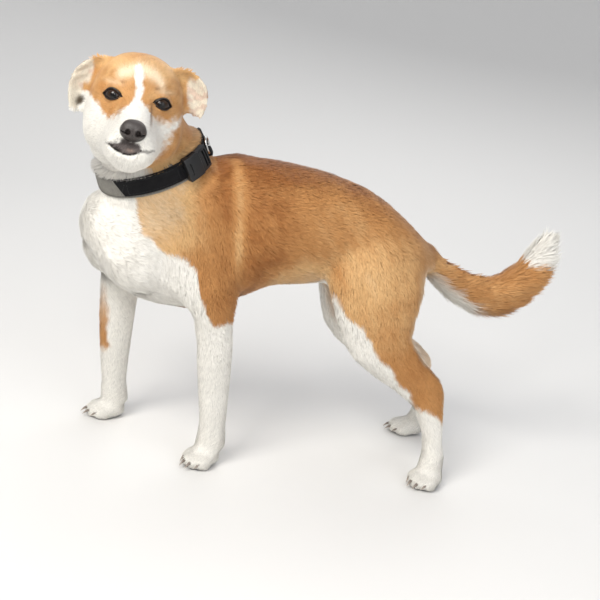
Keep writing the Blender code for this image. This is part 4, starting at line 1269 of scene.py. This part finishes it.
def tufts_on(chosen, seed):
    """Points, colours, unwrapped places and shading normals of the tufts rooted on these triangles."""
    rng = np.random.default_rng(seed)
    index = np.flatnonzero(chosen)
    total = np.cumsum(crowding[index])
    count = int(total[-1])
    picked = index[np.searchsorted(total, (np.arange(count) + rng.random(count)) / count * total[-1])]
    a = np.sqrt(rng.random(count))
    b = rng.random(count)
    shares = np.stack((1 - a, a * (1 - b), a * b), axis=1)

    def at_root(values):
        return np.einsum("ij,ij...->i...", shares, values[triangles[picked]])

    root = at_root(places)
    up = unit(at_root(hide_normals))
    where = at_root(belongs)
    values = at_root(coat_values)
    patch = np.einsum("ij,ijk->ik", shares, patches[picked])
    way = hair_lie(root, up, where)
    way = unit(way + np.cross(up, way) * rng.normal(0, 0.10, count)[:, None])
    side = np.cross(way, up)
    length = values[:, 1] * rng.uniform(0.75, 1.2, count) * (1 + 0.14 * wobble(root, 0.014, 31))
    width = values[:, 2] * rng.uniform(0.75, 1.15, count)
    rise = values[:, 0] * rng.uniform(0.60, 1.0, count)
    curl = side * (rng.normal(0, 0.05, count) * length)[:, None]
    half = side * (width / 2)[:, None]
    base = root - up * 0.0004
    middle = root + way * (0.48 * length)[:, None] + up * (0.74 * rise)[:, None]
    tip = root + way * length[:, None] + up * rise[:, None] + curl
    # Tufts that would run into the collar's upper edge ride up over it, and those under it are left out
    root_high, root_out = to_collar(root)
    near = np.abs(root_out) < NEAR_COLLAR
    ruff = near & (root_high > 0) & (root_high < 0.030)
    reach = np.where(ruff, rng.uniform(0.45, 1.0, count), 1.0)[:, None]
    middle = root + (middle - root) * reach
    tip = root + (tip - root) * reach + side * (np.where(ruff, rng.normal(0, 0.0012, count), 0))[:, None]
    tip_high, tip_out = to_collar(tip)
    over = near & (root_high > LINING_HALF_WIDTH - 0.001) & (tip_high < LINING_HALF_WIDTH + 0.001)
    lift = np.where(over, np.maximum(COLLAR_OUT + 0.0012 - tip_out, 0), 0)
    middle += up * (0.45 * lift)[:, None]
    tip += up * lift[:, None]
    under = near & (np.abs(root_high) < LINING_HALF_WIDTH - 0.001)
    for place in (middle, tip):
        high, out = to_collar(place)
        under |= near & (np.abs(high) < LINING_HALF_WIDTH) & (out > -0.0025) & (out < COLLAR_OUT + 0.0004)
    points = np.stack((base - half, base + half, middle - half, middle + half, tip), axis=1)
    colour, bare = markings(root + way * (0.5 * length)[:, None], up, where)
    rooted_bare = at_root(hide_bare)
    colour = colour * rng.uniform(0.93, 1.06, count)[:, None] * (1 + 0.04 * wobble(root, 0.006, 33))[:, None]
    # Painted shade at each tuft's root, a little lighter at its tip
    root_shade = np.array((0.90, 0.90, 0.99, 0.99, 1.03))
    colours = np.clip(colour[:, None, :] * root_shade[None, :, None], 0, 1)
    spin = rng.uniform(0, 2 * math.pi, count)
    across = np.stack((np.cos(spin), np.sin(spin)), axis=1)
    length_way = np.stack((-np.sin(spin), np.cos(spin)), axis=1)
    grid = ((-0.4, -0.5), (0.4, -0.5), (-0.4, 0), (0.4, 0), (0, 0.5))
    unwrapped = np.stack([patch + ROOT_PATCH * (across * u + length_way * v) for u, v in grid], axis=1)
    one_side, other_side = up - side * 0.35, up + side * 0.35
    own = np.stack((one_side, other_side, one_side, other_side, up + way * 0.2), axis=1)
    keep = ~under & (bare < 0.35) & (rooted_bare < 0.5)
    return points[keep], colours[keep], unwrapped[keep], unit(own)[keep]


def coat_piece(name, chosen, seed):
    """One joined mesh of tufts."""
    points, colours, unwrapped, shading = tufts_on(chosen, seed)
    count = len(points)
    mesh = bpy.data.meshes.new(name)
    mesh.vertices.add(count * TUFT_POINTS)
    mesh.vertices.foreach_set("co", points.astype(np.float32).ravel())
    corners_of_tuft = np.concatenate([np.array(face) for face in TUFT_FACES])
    sizes = np.array([len(face) for face in TUFT_FACES])
    loops = (np.arange(count)[:, None] * TUFT_POINTS + corners_of_tuft[None, :]).ravel()
    mesh.loops.add(len(loops))
    mesh.loops.foreach_set("vertex_index", loops.astype(np.int32))
    first_loops = np.cumsum(sizes) - sizes
    starts = (np.arange(count)[:, None] * sizes.sum() + first_loops[None, :]).ravel()
    mesh.polygons.add(len(starts))
    mesh.polygons.foreach_set("loop_start", starts.astype(np.int32))
    mesh.update(calc_edges=True)
    layer = mesh.uv_layers.new(name="OFBake")
    layer.data.foreach_set("uv", unwrapped.reshape(-1, 2)[loops].astype(np.float32).ravel())
    mesh.shade_smooth()
    mesh.normals_split_custom_set_from_vertices(shading.reshape(-1, 3))
    item = bpy.data.objects.new(name, mesh)
    bpy.context.scene.collection.objects.link(item)
    paint(item, "coat_colour", colours.reshape(-1, 3))
    mesh.materials.append(coat_finish)
    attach(item, "root")


COAT_PIECES = (
    ("coat_face", ("head", "nose"), 0), ("coat_ears", ("ear",), 0), ("coat_neck", ("neck",), 0),
    ("coat_trunk_left", ("trunk",), 1), ("coat_trunk_right", ("trunk",), -1),
    ("coat_forelegs", ("arm", "forearm"), 0), ("coat_hindlegs", ("thigh", "shank"), 0),
    ("coat_feet", ("paw",), 0), ("coat_tail", ("tail",), 0),
)
on_left = corners[:, :, 0].mean(axis=1) > HIND_MIDDLE
for seed, (name, its_kinds, half) in enumerate(COAT_PIECES):
    rooted_here = np.isin(main_kind[triangles[:, 0]], its_kinds) & ((half == 0) | (on_left == (half > 0)))
    coat_piece(name, rooted_here, seed)

# ---------------------------------------------------------------- floor, light and camera
floor = fresh("floor", bpy.ops.mesh.primitive_grid_add, x_subdivisions=200, y_subdivisions=200, size=16)
flat = places_of(floor)
flat[:, 2] = 0.16 * np.maximum(np.linalg.norm(flat, axis=1) - 1.6, 0) ** 2
put_places(floor, flat)
bpy.ops.object.shade_smooth()
floor.data.materials.append(material_of("pale floor", 0.9, (0.74, 0.73, 0.71))[0])

CAMERA_AT = (1.3556, -0.434, 0.684)
CAMERA_RIGHT = Vector((0.234, 0.957, 0.174)).normalized()
CAMERA_UP = Vector((-0.336, -0.088, 0.938))
CAMERA_UP = (CAMERA_UP - CAMERA_RIGHT * CAMERA_UP.dot(CAMERA_RIGHT)).normalized()
bpy.ops.object.camera_add(location=CAMERA_AT)
camera = bpy.context.active_object
camera.data.lens = 65.3
camera.data.sensor_width = 36
turn = Matrix((CAMERA_RIGHT, CAMERA_UP, CAMERA_RIGHT.cross(CAMERA_UP))).transposed()
camera.matrix_world = Matrix.Translation(CAMERA_AT) @ turn.to_4x4()
bpy.context.scene.camera = camera


def lamp(name, place, aim, size, power, colour=(1, 1, 1)):
    bpy.ops.object.light_add(type="AREA", location=place)
    made = bpy.context.active_object
    made.name = name
    made.data.size = size
    made.data.energy = power
    made.data.color = colour
    made.rotation_euler = (Vector(aim) - Vector(place)).to_track_quat("-Z", "Y").to_euler()


MIDDLE = (0, 0, 0.25)
lamp("key", (1.15, -1.5, 2.05), MIDDLE, 1.1, 54, (1.0, 0.97, 0.92))
lamp("fill", (2.2, 1.2, 1.4), MIDDLE, 2.2, 20, (0.95, 0.97, 1.0))
lamp("back", (-1.7, 0.8, 1.9), MIDDLE, 1.8, 22)
by_camera = Vector(CAMERA_AT) - 0.06 * CAMERA_RIGHT + 0.42 * CAMERA_UP
lamp("eye light", by_camera, head_place, 0.26, 4.4)
world = bpy.data.worlds.new("studio")
bpy.context.scene.world = world
world.use_nodes = True
world.node_tree.nodes["Background"].inputs["Color"].default_value = (0.9, 0.93, 1.0, 1)
world.node_tree.nodes["Background"].inputs["Strength"].default_value = 0.60
bpy.context.scene.view_settings.view_transform = "Standard"
